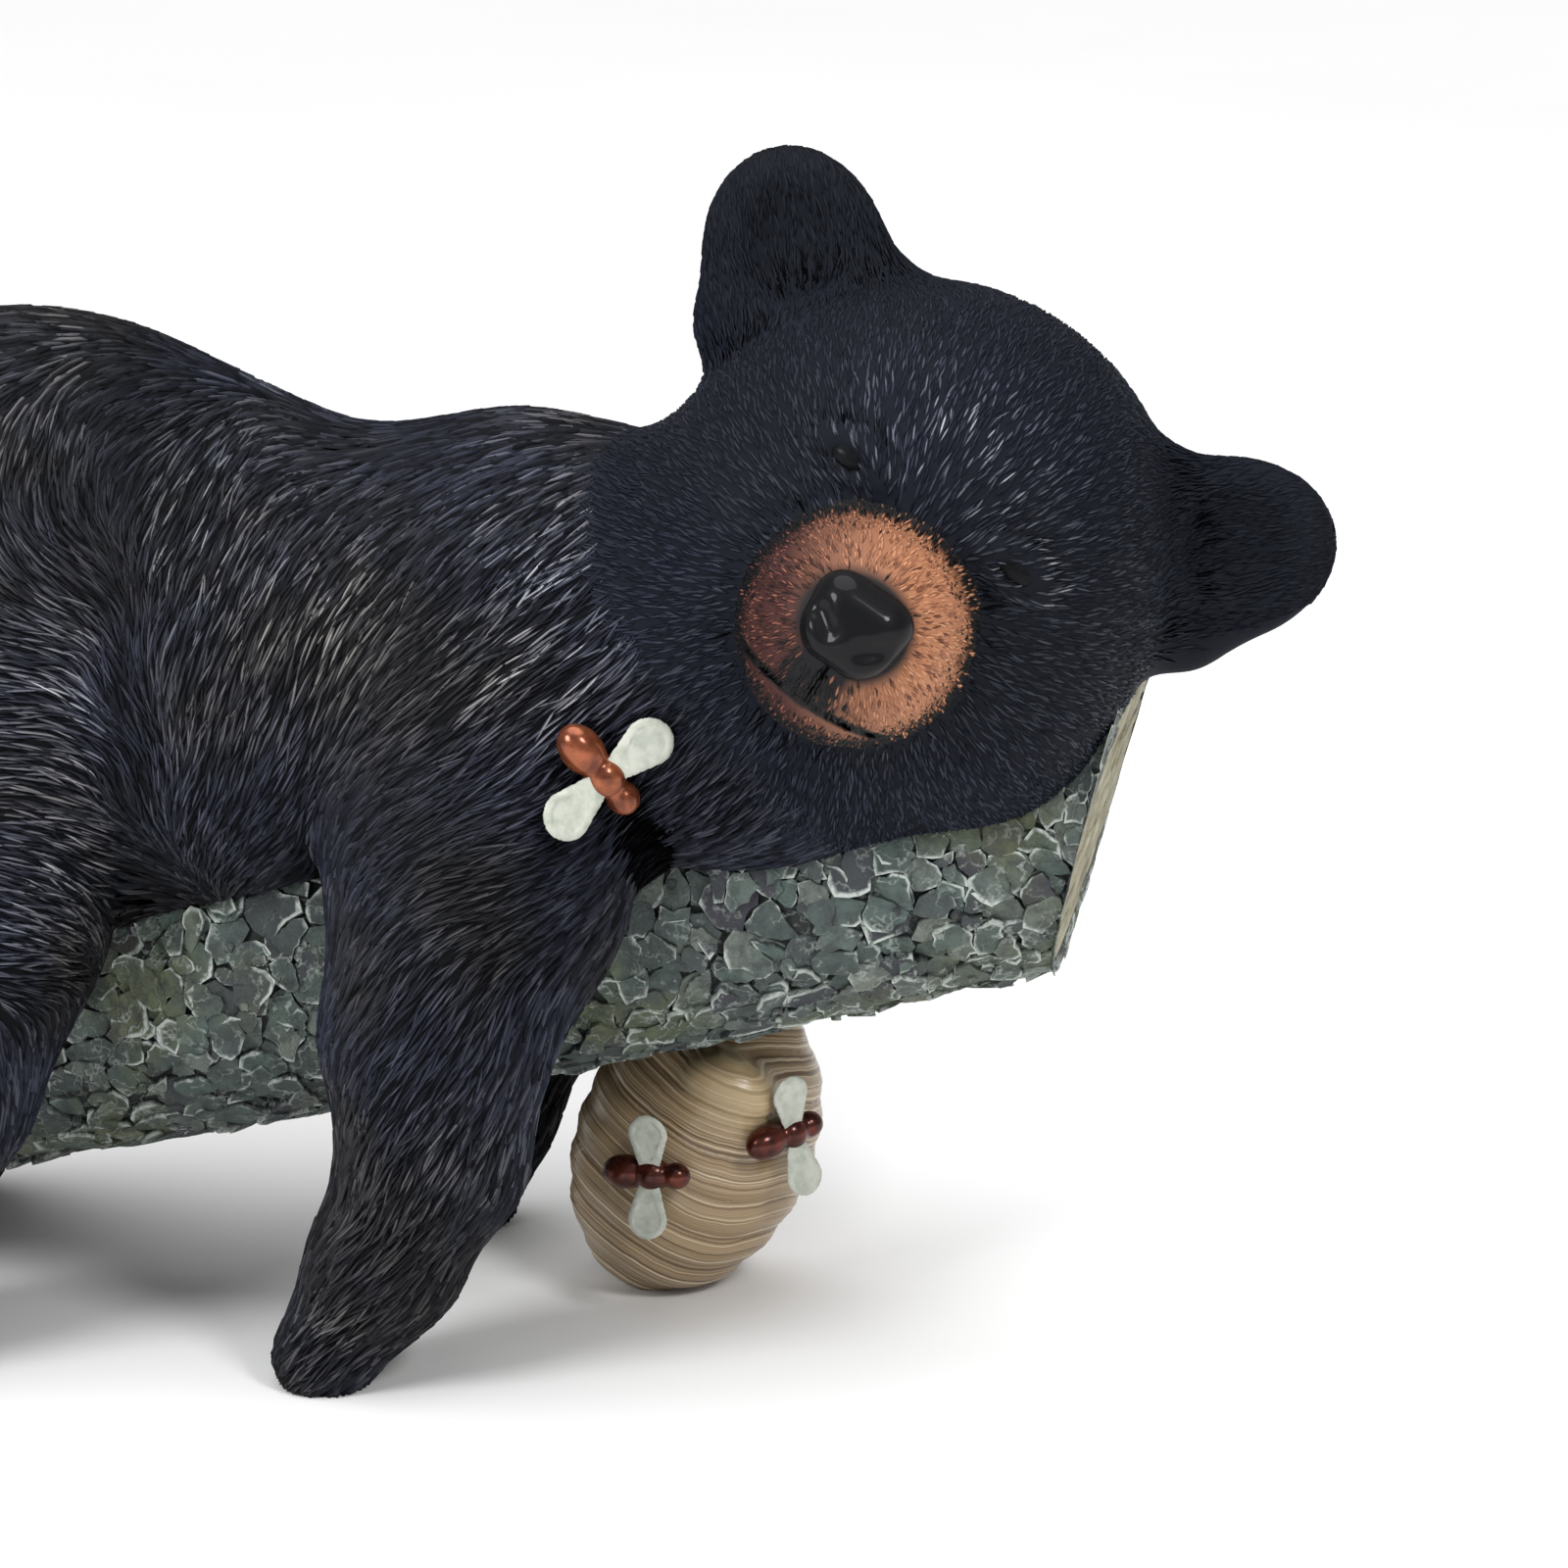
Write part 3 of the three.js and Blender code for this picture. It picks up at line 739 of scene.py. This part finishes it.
def on_branch(angle, along, height):
    """Points round the branch, no further along it than its sawn ends."""
    axis, across, up = branch_frame()
    spoke = np.cos(angle)[:, None] * across + np.sin(angle)[:, None] * up
    to_saw = np.subtract(SAW["point"], BRANCH["through"])
    tip = (to_saw @ saw_normal() - BRANCH["radius"] * spoke @ saw_normal()) / (axis @ saw_normal())
    place = np.clip(along, BRANCH["butt"], tip)
    radius = branch_radius(place) + height
    return np.array(BRANCH["through"]) + place[:, None] * axis + radius[:, None] * spoke


def flake_faces(count):
    """Triangles of closed flakes: under side, wall, rim and top, over three rings and two middles."""
    ring = np.arange(FLAKE_SIDES)
    beyond = (ring + 1) % FLAKE_SIDES
    under, edge, inner = (ring + FLAKE_SIDES * row for row in range(3))
    under_next, edge_next, inner_next = (beyond + FLAKE_SIDES * row for row in range(3))
    low = np.full(FLAKE_SIDES, 3 * FLAKE_SIDES)
    pattern = [
        (under_next, under, low), (under, under_next, edge_next), (under, edge_next, edge),
        (edge, edge_next, inner_next), (edge, inner_next, inner), (inner, inner_next, low + 1),
    ]
    faces = np.concatenate([np.stack(corners, axis=1) for corners in pattern])
    size = 3 * FLAKE_SIDES + 2
    return (faces[None] + size * np.arange(count)[:, None, None]).reshape(-1, 3)


def bark_flakes(counts, share, lifts, steep, rng):
    """A layer of flakes, each tilted so that one edge stands up, left out where the cub covers them."""
    middles, reach, ways = flake_outlines(counts, rng)
    angle, along = middles[:, 0] / BRANCH["radius"], middles[:, 1] + BRANCH["butt"]
    place = on_branch(angle, along, np.zeros(len(middles)))
    shown = (trunk_form()(place) > -4.0) & (rng.random(len(middles)) < share)
    middles, reach = middles[shown], reach[shown]
    count = len(middles)
    reach = reach * rng.uniform(0.78, 1.15, reach.shape)
    lift = rng.uniform(*lifts, (count, 1))
    tilt = rng.normal(0.0, steep, (count, 2))
    worn = 0.2 + 0.35 * smooth(-30.0, 0.0, middles[:, 1:] + BRANCH["butt"] - BRANCH["tip"])
    rows, rises, rims = [], [], []
    for out, rise, rim in ((1.0, -FLAKE_DEPTH, 0.0), (1.0, 0.0, 1.0), (0.72, -0.12, 0.0)):
        offset = out * reach[:, :, None] * ways
        slope = (offset * tilt[:, None]).sum(axis=2)
        rows.append(middles[:, None] + offset)
        rises.append(lift + slope + rise)
        rims.append(rim * (worn + 0.8 * smooth(0.0, 0.4, slope)))
    for rise in (-FLAKE_DEPTH, -0.05):
        rows.append(middles[:, None])
        rises.append(lift + rise)
        rims.append(np.zeros((count, 1)))
    spots, rise, rim = (np.concatenate(values, axis=1) for values in (rows, rises, rims))
    size = spots.shape[1]
    angle = (spots[:, :, 0] / BRANCH["radius"]).ravel()
    points = on_branch(angle, spots[:, :, 1].ravel() + BRANCH["butt"], rise.ravel())
    crack = np.zeros((count, size))
    crack[:, :FLAKE_SIDES] = 1.0
    tone = np.repeat(rng.random((count, 1)), size, axis=1)
    marks = {"rim": rim.ravel(), "crack": crack.ravel(), "tone": tone.ravel(), "wood": np.zeros(len(points))}
    return body_of(points, flake_faces(count), **marks)


def ring_quads(index):
    """Four-sided faces between rings of points, from the points' numbers with a ring in each row."""
    beside = np.roll(index, -1, axis=1)
    return np.stack([index[:-1], beside[:-1], beside[1:], index[1:]], axis=-1).reshape(-1, 4)


def branch_core(rng):
    """The round under the flakes, with its two sawn ends."""
    around_count, along_count = CORE_GRID
    turn = np.arange(around_count) * 2 * math.pi / around_count
    reach = np.linspace(BRANCH["butt"], BRANCH["tip"], along_count)
    angle, along = (values.ravel() for values in np.meshgrid(turn, reach, indexing="ij"))
    points = on_branch(angle, along, np.full(len(angle), -CORE_DEPTH))
    index = np.arange(len(points)).reshape(CORE_GRID)
    faces = split(ring_quads(index.T))
    blank = np.zeros(len(points))
    bodies = [body_of(points, faces, rim=blank, crack=blank + 1.0, tone=blank, wood=blank)]
    for column, out in ((0, -branch_frame()[0]), (-1, saw_normal())):
        bodies.append(end_face(points[index[:, column]], out, column == 0, rng))
    return gather(bodies)


def branch_bark(rng):
    return on_ground(gather([branch_core(rng), bark_flakes(**UNDER_LAYER, rng=rng)]))


def branch_scales(rng):
    return on_ground(bark_flakes(**UPPER_LAYER, rng=rng))


def end_face(rim_points, out, flipped, rng):
    """A sawn end: rings of points from the rim to the middle, with level cracks across it."""
    count = len(rim_points)
    middle = rim_points.mean(axis=0)
    shares = np.linspace(1.0, 0.0, CORE_RINGS)
    points = np.concatenate([middle + share * (rim_points - middle) for share in shares])
    across, up = points[:, 1], points[:, 2]
    height = up + 1.2 * np.sin(across / 5.0) + 0.7 * np.sin(across / 2.1 + up)
    wave = np.sin(height * 2 * math.pi / 6.1) + 0.8 * np.sin(height * 2 * math.pi / 3.7 + 1.0)
    crack = smooth(0.9, 1.6, wave)
    depth = np.where(np.repeat(shares, count) < 1.0, crack, 0.0)
    points = points - CRACK_DEPTH * depth[:, None] * out
    quads = ring_quads(np.arange(count * CORE_RINGS).reshape(CORE_RINGS, count))
    faces = split(quads[:, ::-1] if flipped else quads)
    blank = np.zeros(len(points))
    return body_of(points, faces, rim=blank, crack=crack, tone=rng.random(len(points)), wood=blank + 1.0)


# The hive
def hive_form():
    across, up = HIVE["width"] / 2, HIVE["height"] / 2
    return ellipsoid(HIVE["centre"], (across, across, up), HIVE["lean"])


def hive_strands(points):
    """How far up the hive each point's strand is, in millimetres."""
    height = (points - np.array(HIVE["centre"])) @ turned(HIVE["lean"], 2, 0)[:, 2]
    x, y = points[:, 0], points[:, 1]
    return height + 1.6 * np.sin(x / 11.0 + 1.3) + 0.9 * np.sin(y / 7.0 + x / 9.0)


def hive_coils():
    """A straw egg of strands, with a knot near its top and a dark way in below the branch."""
    knot, entrance = ellipsoid(**KNOT), ellipsoid(**ENTRANCE)
    round_egg = carve(SOFT["entrance"], blend(SOFT["knot"], hive_form(), knot), entrance)
    bulge = lambda coil: np.abs(np.sin(coil * math.pi / COIL["pitch"]))

    def shape(points):
        coil = hive_strands(points)
        ridges = COIL["height"] * bulge(coil) + 0.07 * np.sin(coil * 2.9) + 0.06 * np.sin(coil * 4.3)
        return np.maximum(round_egg(points) + COIL["sunk"] - ridges, PERCH - branch_form(points))

    points, faces = skin(shape, **GRIDS["hive"])
    points[:, 2] = np.maximum(points[:, 2], SOLE)
    coil = hive_strands(points)
    in_knot = clamp(1.2 - knot(points) / 3.0)
    in_den = clamp(1.0 - entrance(points))
    return body_of(points, faces, coil=coil / 10.0, groove=1.0 - bulge(coil), knot=in_knot, den=in_den)


# The bees
def wing_form(side):
    """A paddle, narrow at its root and hollowed inside its rim."""
    root, length, width = WING["root"], WING["length"], WING["width"]
    turn = turned(WING["lift"], 2, 1)
    flat = WING["thickness"] / width
    tip = length + root[1] - width / 2
    paddle = bone((0, root[1], 0, WING_RIM["root"]), (0, tip, 0, width / 2))
    inner = (0, WING_RIM["start"], 0, WING_RIM["start_radius"])
    hollow = bone(inner, (0, tip, 0, width / 2 - WING_RIM["width"]))

    def distance(points):
        local = ((points - (root[0], 0, root[2])) * (1, side, 1)) @ turn.T
        blade = paddle(local / (1, 1, flat))
        dent = np.maximum(hollow(local * (1, 1, 0)), WING["thickness"] * WING_RIM["floor"] - local[:, 2])
        return np.maximum(blade * 0.4, -dent)

    return distance


def bee_parts():
    """Points and faces of a bee's body and two wings, and whether each is a wing."""
    body = blend(SOFT["bee"], *[ellipsoid(**bead) for bead in BEE_BEADS])
    forms = [(body, False), (wing_form(1), True), (wing_form(-1), True)]
    return [(*skin(form, **GRIDS["bee"]), winged) for form, winged in forms]


def seat(form, start, heading):
    """Where a bee sits: its spot on a form and its three axes, from a start in front of the form."""
    spot = np.array([start], float)
    for _ in range(60):
        spot[:, 1] += form(spot)
    up = normal_of(form, spot)[0]
    side = unit(np.cross(up, np.array(heading)))
    return spot[0] + PERCH * up, np.stack([np.cross(side, up), side, up])


# Materials
def srgb(red, green, blue):
    channels = np.array([red, green, blue]) / 255.0
    linear = np.where(channels <= 0.04045, channels / 12.92, ((channels + 0.055) / 1.055) ** 2.4)
    return (*linear, 1.0)


class Paint:
    """A material being mixed: its shader, and short ways to add nodes and join them."""

    def __init__(self, name, **settings):
        self.material = bpy.data.materials.new(name)
        self.material.use_nodes = True
        self.tree = self.material.node_tree
        self.shader = self.tree.nodes["Principled BSDF"]
        self.finish(**settings)

    def feed(self, socket, value):
        """Joins a socket to another one, or sets it to a number or to a colour from 0 to 255."""
        if isinstance(value, bpy.types.NodeSocket):
            self.tree.links.new(value, socket)
        else:
            socket.default_value = srgb(*value) if isinstance(value, tuple) else value

    def add(self, kind, inputs=(), **settings):
        node = self.tree.nodes.new("ShaderNode" + kind)
        for name, value in settings.items():
            setattr(node, name, value)
        for key, value in dict(inputs).items():
            self.feed(node.inputs[key], value)
        return node

    def mark(self, name):
        return self.add("Attribute", attribute_name=name).outputs["Fac"]

    def noise(self, scale, detail=3.0, roughness=0.55):
        place = self.add("TexCoord").outputs["Object"]
        inputs = {"Vector": place, "Scale": scale, "Detail": detail, "Roughness": roughness}
        return self.add("TexNoise", inputs).outputs["Fac"]

    def math(self, operation, first, second=0.0):
        return self.add("Math", {0: first, 1: second}, operation=operation).outputs[0]

    def ramp(self, share, stops):
        node = self.add("ValToRGB", {"Fac": share})
        edge = node.color_ramp
        while len(edge.elements) < len(stops):
            edge.elements.new(0.5)
        for element, (position, colour) in zip(edge.elements, stops):
            element.position = position
            element.color = srgb(*colour)
        return node.outputs["Color"]

    def span(self, share, low, high, to_low=0.0, to_high=1.0):
        inputs = {"Value": share, "From Min": low, "From Max": high, "To Min": to_low, "To Max": to_high}
        return self.add("MapRange", inputs).outputs["Result"]

    def mix(self, share, first, second):
        return self.add("Mix", {0: share, 6: first, 7: second}, data_type="RGBA").outputs[2]

    def bump(self, height, strength, distance):
        inputs = {"Height": height, "Strength": strength, "Distance": distance}
        self.feed(self.shader.inputs["Normal"], self.add("Bump", inputs).outputs["Normal"])

    def finish(self, **sockets):
        for socket, value in sockets.items():
            self.feed(self.shader.inputs[socket.replace("_", " ")], value)
        return self.material


def fur_paint(name, cool, warm):
    """Black resin fur: from black through a cool or warm dark to pale, by how much paint a stroke caught,
    the palest partly painted glints.
    """
    paint = Paint(name, Specular_IOR_Level=0.09)
    brush = paint.mark("brush")
    patch = paint.span(paint.noise(22.0), 0.42, 0.6)
    steps = (0.0, 0.3, 0.65, 1.0)
    ramps = [paint.ramp(brush, list(zip(steps, colours))) for colours in (cool, warm)]
    paint.bump(paint.noise(900.0), 0.2, 0.0003)
    roughness = paint.span(brush, 0.0, 0.4, 0.7, 0.34)
    return paint.finish(Base_Color=paint.mix(patch, *ramps), Roughness=roughness)


def muzzle_paint():
    paint = Paint("muzzle_orange", Specular_IOR_Level=0.2)
    brush = paint.mark("brush")
    oranges = [(0.0, (92, 53, 39)), (0.22, (163, 109, 79)), (1.0, (208, 154, 116))]
    reds = [(0.0, (26, 17, 18)), (0.45, (78, 45, 41)), (1.0, (156, 98, 82))]
    warm, red = paint.ramp(brush, oranges), paint.ramp(brush, reds)
    colour = paint.mix(paint.mark("blush"), warm, red)
    soot = paint.span(paint.mark("soot"), 0.1, 0.8)
    colour = paint.mix(soot, colour, (14, 14, 17))
    return paint.finish(Base_Color=colour, Roughness=0.55)


def gloss_paint(name, colour, roughness, coat):
    paint = Paint(name, Specular_IOR_Level=0.08, Coat_Weight=coat, Coat_Roughness=0.1)
    tone = paint.mix(paint.noise(160.0), colour, (8, 8, 10))
    paint.bump(paint.noise(420.0), 0.15, 0.0004)
    return paint.finish(Base_Color=tone, Roughness=roughness)


def bark_paint():
    """Grey-green flakes with pale raised rims and dark seams, mossy in patches, and wood at the ends."""
    paint = Paint("painted_bark", Specular_IOR_Level=0.3)
    greys = [(54, 52, 62), (72, 83, 80), (76, 91, 87), (110, 116, 109)]
    plate = paint.ramp(paint.mark("tone"), list(zip((0.0, 0.3, 0.65, 1.0), greys)))
    moss = paint.span(paint.noise(26.0, 4.0), 0.48, 0.6)
    plate = paint.mix(paint.math("MULTIPLY", moss, 0.7), plate, (92, 98, 68))
    mottle = paint.span(paint.noise(260.0, 6.0, 0.7), 0.42, 0.62)
    plate = paint.mix(paint.math("MULTIPLY", mottle, 0.7), plate, (50, 54, 55))
    colour = paint.mix(paint.span(paint.mark("crack"), 0.15, 0.6), plate, (38, 42, 42))
    broken = paint.span(paint.noise(110.0, 5.0, 0.7), 0.42, 0.58)
    worn = paint.math("MULTIPLY", paint.mark("rim"), paint.math("ADD", broken, 0.35))
    ridge = paint.math("ABSOLUTE", paint.math("SUBTRACT", paint.noise(150.0, 3.0, 0.6), 0.5))
    wrinkle = paint.math("MULTIPLY", paint.span(ridge, 0.0, 0.03, 1.0, 0.0), broken)
    pale = paint.math("MAXIMUM", paint.span(worn, 0.25, 0.8), paint.math("MULTIPLY", wrinkle, 0.6))
    colour = paint.mix(pale, colour, (178, 186, 180))
    tans = [(0.3, (108, 102, 80)), (0.5, (150, 145, 118)), (0.75, (184, 180, 156))]
    wood = paint.ramp(paint.noise(140.0, 5.0), tans)
    wood = paint.mix(paint.mark("crack"), wood, (78, 72, 56))
    colour = paint.mix(paint.mark("wood"), colour, wood)
    relief = paint.math("ADD", paint.noise(420.0, 6.0, 0.65), paint.math("MULTIPLY", wrinkle, 0.4))
    paint.bump(relief, 0.9, 0.0012)
    return paint.finish(Base_Color=colour, Roughness=0.6)


def hive_paint():
    paint = Paint("hive_straw", Specular_IOR_Level=0.5)
    strand = paint.math("MULTIPLY", paint.mark("coil"), 13.0)
    wander = paint.math("MULTIPLY", paint.noise(60.0, 3.0), 3.0)
    inputs = {"W": paint.math("ADD", strand, wander), "Scale": 1.0, "Detail": 4.0, "Roughness": 0.65}
    lines = paint.add("TexNoise", inputs, noise_dimensions="1D").outputs["Fac"]
    straws = [(60, 42, 29), (130, 107, 79), (164, 142, 110), (216, 203, 178)]
    colour = paint.ramp(lines, list(zip((0.3, 0.4, 0.56, 0.7), straws)))
    colour = paint.mix(paint.span(paint.mark("groove"), 0.7, 1.0, 0.0, 0.7), colour, (104, 80, 54))
    # The knot is paler: partly its own lighter whorl, partly a painted highlight on the lump
    colour = paint.mix(paint.math("MULTIPLY", paint.mark("knot"), 0.6), colour, (176, 155, 118))
    colour = paint.mix(paint.mark("den"), colour, (66, 44, 30))
    return paint.finish(Base_Color=colour, Roughness=0.3)


def bee_paint(name, colour, shade):
    paint = Paint(name, Metallic=0.55)
    tone = paint.mix(paint.span(paint.noise(300.0), 0.35, 0.65), colour, shade)
    return paint.finish(Base_Color=tone, Roughness=0.22)


def wing_paint():
    paint = Paint("wing_white")
    tone = paint.mix(paint.span(paint.noise(380.0), 0.4, 0.7), (182, 185, 174), (154, 160, 148))
    paint.bump(paint.noise(600.0), 0.2, 0.0003)
    return paint.finish(Base_Color=tone, Roughness=0.45)


# Pieces
def put(name, data):
    """A new object in the scene."""
    thing = bpy.data.objects.new(name, data)
    bpy.context.scene.collection.objects.link(thing)
    return thing


def make_piece(name, node, slot, body, materials, choice=None, crisp=None):
    """A mesh in the frame that stands for a node, with its marks and materials."""
    mesh = bpy.data.meshes.new(name)
    points = (body["points"] + OFFSET) * MM
    faces = body["faces"]
    mesh.vertices.add(len(points))
    mesh.vertices.foreach_set("co", points.ravel())
    mesh.loops.add(faces.size)
    mesh.loops.foreach_set("vertex_index", faces.ravel().astype(np.int32))
    mesh.polygons.add(len(faces))
    mesh.polygons.foreach_set("loop_start", np.arange(0, faces.size, 3, dtype=np.int32))
    for material in materials:
        mesh.materials.append(material)
    if choice is not None:
        mesh.polygons.foreach_set("material_index", choice.astype(np.int32))
    for mark, values in body["marks"].items():
        mesh.attributes.new(mark, "FLOAT", "POINT").data.foreach_set("value", values.astype(np.float32))
    mesh.update(calc_edges=True)
    mesh.shade_smooth()
    if crisp is not None:
        mesh.set_sharp_from_angle(angle=math.radians(crisp))
    piece = put(name, mesh)
    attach(piece, "root")
    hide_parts(node)


def draws(number):
    """The random draws of one piece."""
    return np.random.default_rng(SEED + number)


def make_cub():
    body_fur = fur_paint("body_fur", BODY_COOL, BODY_WARM)
    head_fur = fur_paint("head_fur", HEAD_COOL, HEAD_WARM)
    make_piece("cub_forequarters", *CASTING, cub_quarters(True, draws(0)), [body_fur])
    make_piece("cub_hindquarters", *CASTING, cub_quarters(False, draws(6)), [body_fur])
    make_piece("cub_head", *CASTING, cub_head(draws(1)), [head_fur])
    make_piece("cub_muzzle", *CASTING, cub_muzzle(draws(2)), [muzzle_paint()])
    make_piece("cub_nose", *CASTING, cub_nose(), [gloss_paint("nose_black", (10, 11, 15), 0.5, 0.22)])
    make_piece("cub_eyes", *CASTING, cub_eyes(), [gloss_paint("eye_black", (11, 13, 17), 0.45, 0.05)])


def make_branch():
    bark = bark_paint()
    make_piece("branch_bark", *CASTING, branch_bark(draws(3)), [bark], crisp=CRISP)
    make_piece("branch_scales", *CASTING, branch_scales(draws(4)), [bark], crisp=CRISP)


def make_bees():
    trunk, hive = trunk_form(), hive_form()
    copper = bee_paint("bee_copper", (150, 84, 54), (96, 50, 34))
    mahogany = bee_paint("bee_mahogany", (96, 44, 32), (52, 22, 18))
    wings = wing_paint()
    names = [
        ("shoulder_bee", "bee_shoulder", "bee_copper"),
        ("hive_front_bee", "bee_hive_front", "bee_mahogany"),
        ("hive_side_bee", "bee_hive_side", "bee_mahogany"),
    ]
    places = [
        (trunk, (60, -120, 134), (0.66, 0, -0.75), 1.18, copper),
        (hive, (65.5, -60, 36), (1, 0, 0), 1.0, mahogany),
        (hive, (90, -60, 43), (0.6, 0.9, 0.15), 1.0, mahogany),
    ]
    parts = bee_parts()
    for (name, node, slot), (carrier, start, heading, size, coat) in zip(names, places):
        spot, axes = seat(carrier, start, heading)
        whole = gather([body_of(size * points @ axes + spot, faces) for points, faces, _ in parts])
        choice = np.concatenate([np.full(len(faces), winged) for _, faces, winged in parts])
        make_piece(name, node, slot, whole, [coat, wings], choice)


# The stage
def make_floor():
    mesh = bpy.data.meshes.new("floor")
    corners = [(FLOOR * x, FLOOR * y, 0) for x, y in ((-1, -1), (1, -1), (1, 1), (-1, 1))]
    mesh.from_pydata(corners, [], [(0, 1, 2, 3)])
    paint = Paint("floor_white", Roughness=0.9)
    tone = paint.mix(paint.noise(3.0), (246, 246, 246), (240, 240, 240))
    mesh.materials.append(paint.finish(Base_Color=tone))
    floor = put("floor", mesh)


def aim(thing, target):
    thing.rotation_euler = (target - thing.location).to_track_quat("-Z", "Y").to_euler()


def make_light(name, target, place, size, power):
    light = bpy.data.lights.new(name, "AREA")
    light.shape = "DISK"
    light.size = size
    light.energy = power
    lamp = put(name, light)
    lamp.location = Vector(place)
    aim(lamp, target)


def make_sky(strength, spread):
    """A broad light from overhead, even over the floor."""
    light = bpy.data.lights.new("sky", "SUN")
    light.energy = strength
    light.angle = math.radians(spread)
    put("sky", light)


def make_lights(target):
    world = bpy.data.worlds.new("studio")
    world.use_nodes = True
    background = world.node_tree.nodes["Background"]
    background.inputs["Color"].default_value = (1.0, 1.0, 1.0, 1.0)
    background.inputs["Strength"].default_value = WORLD
    bpy.context.scene.world = world
    bpy.context.scene.view_settings.view_transform = "Standard"
    make_sky(**SKY)
    make_light("key", target, **KEY_LIGHT)
    make_light("side", target, **SIDE_LIGHT)


def make_camera():
    target = Vector((np.array(CAMERA["target"]) + OFFSET) * MM)
    back = Vector(turned(CAMERA["azimuth"], 0, 1) @ turned(CAMERA["elevation"], 2, 1) @ (0, -1, 0))
    lens = bpy.data.cameras.new("camera")
    lens.sensor_width = LENS["sensor"]
    lens.lens = LENS["focal"]
    camera = put("camera", lens)
    camera.location = target + back * CAMERA["distance"] * MM
    aim(camera, target)
    bpy.context.scene.camera = camera
    return target


make_lights(make_camera())
make_floor()
make_cub()
make_branch()
make_piece("hive_coils", "beehive", "hive", hive_coils(), [hive_paint()])
make_bees()
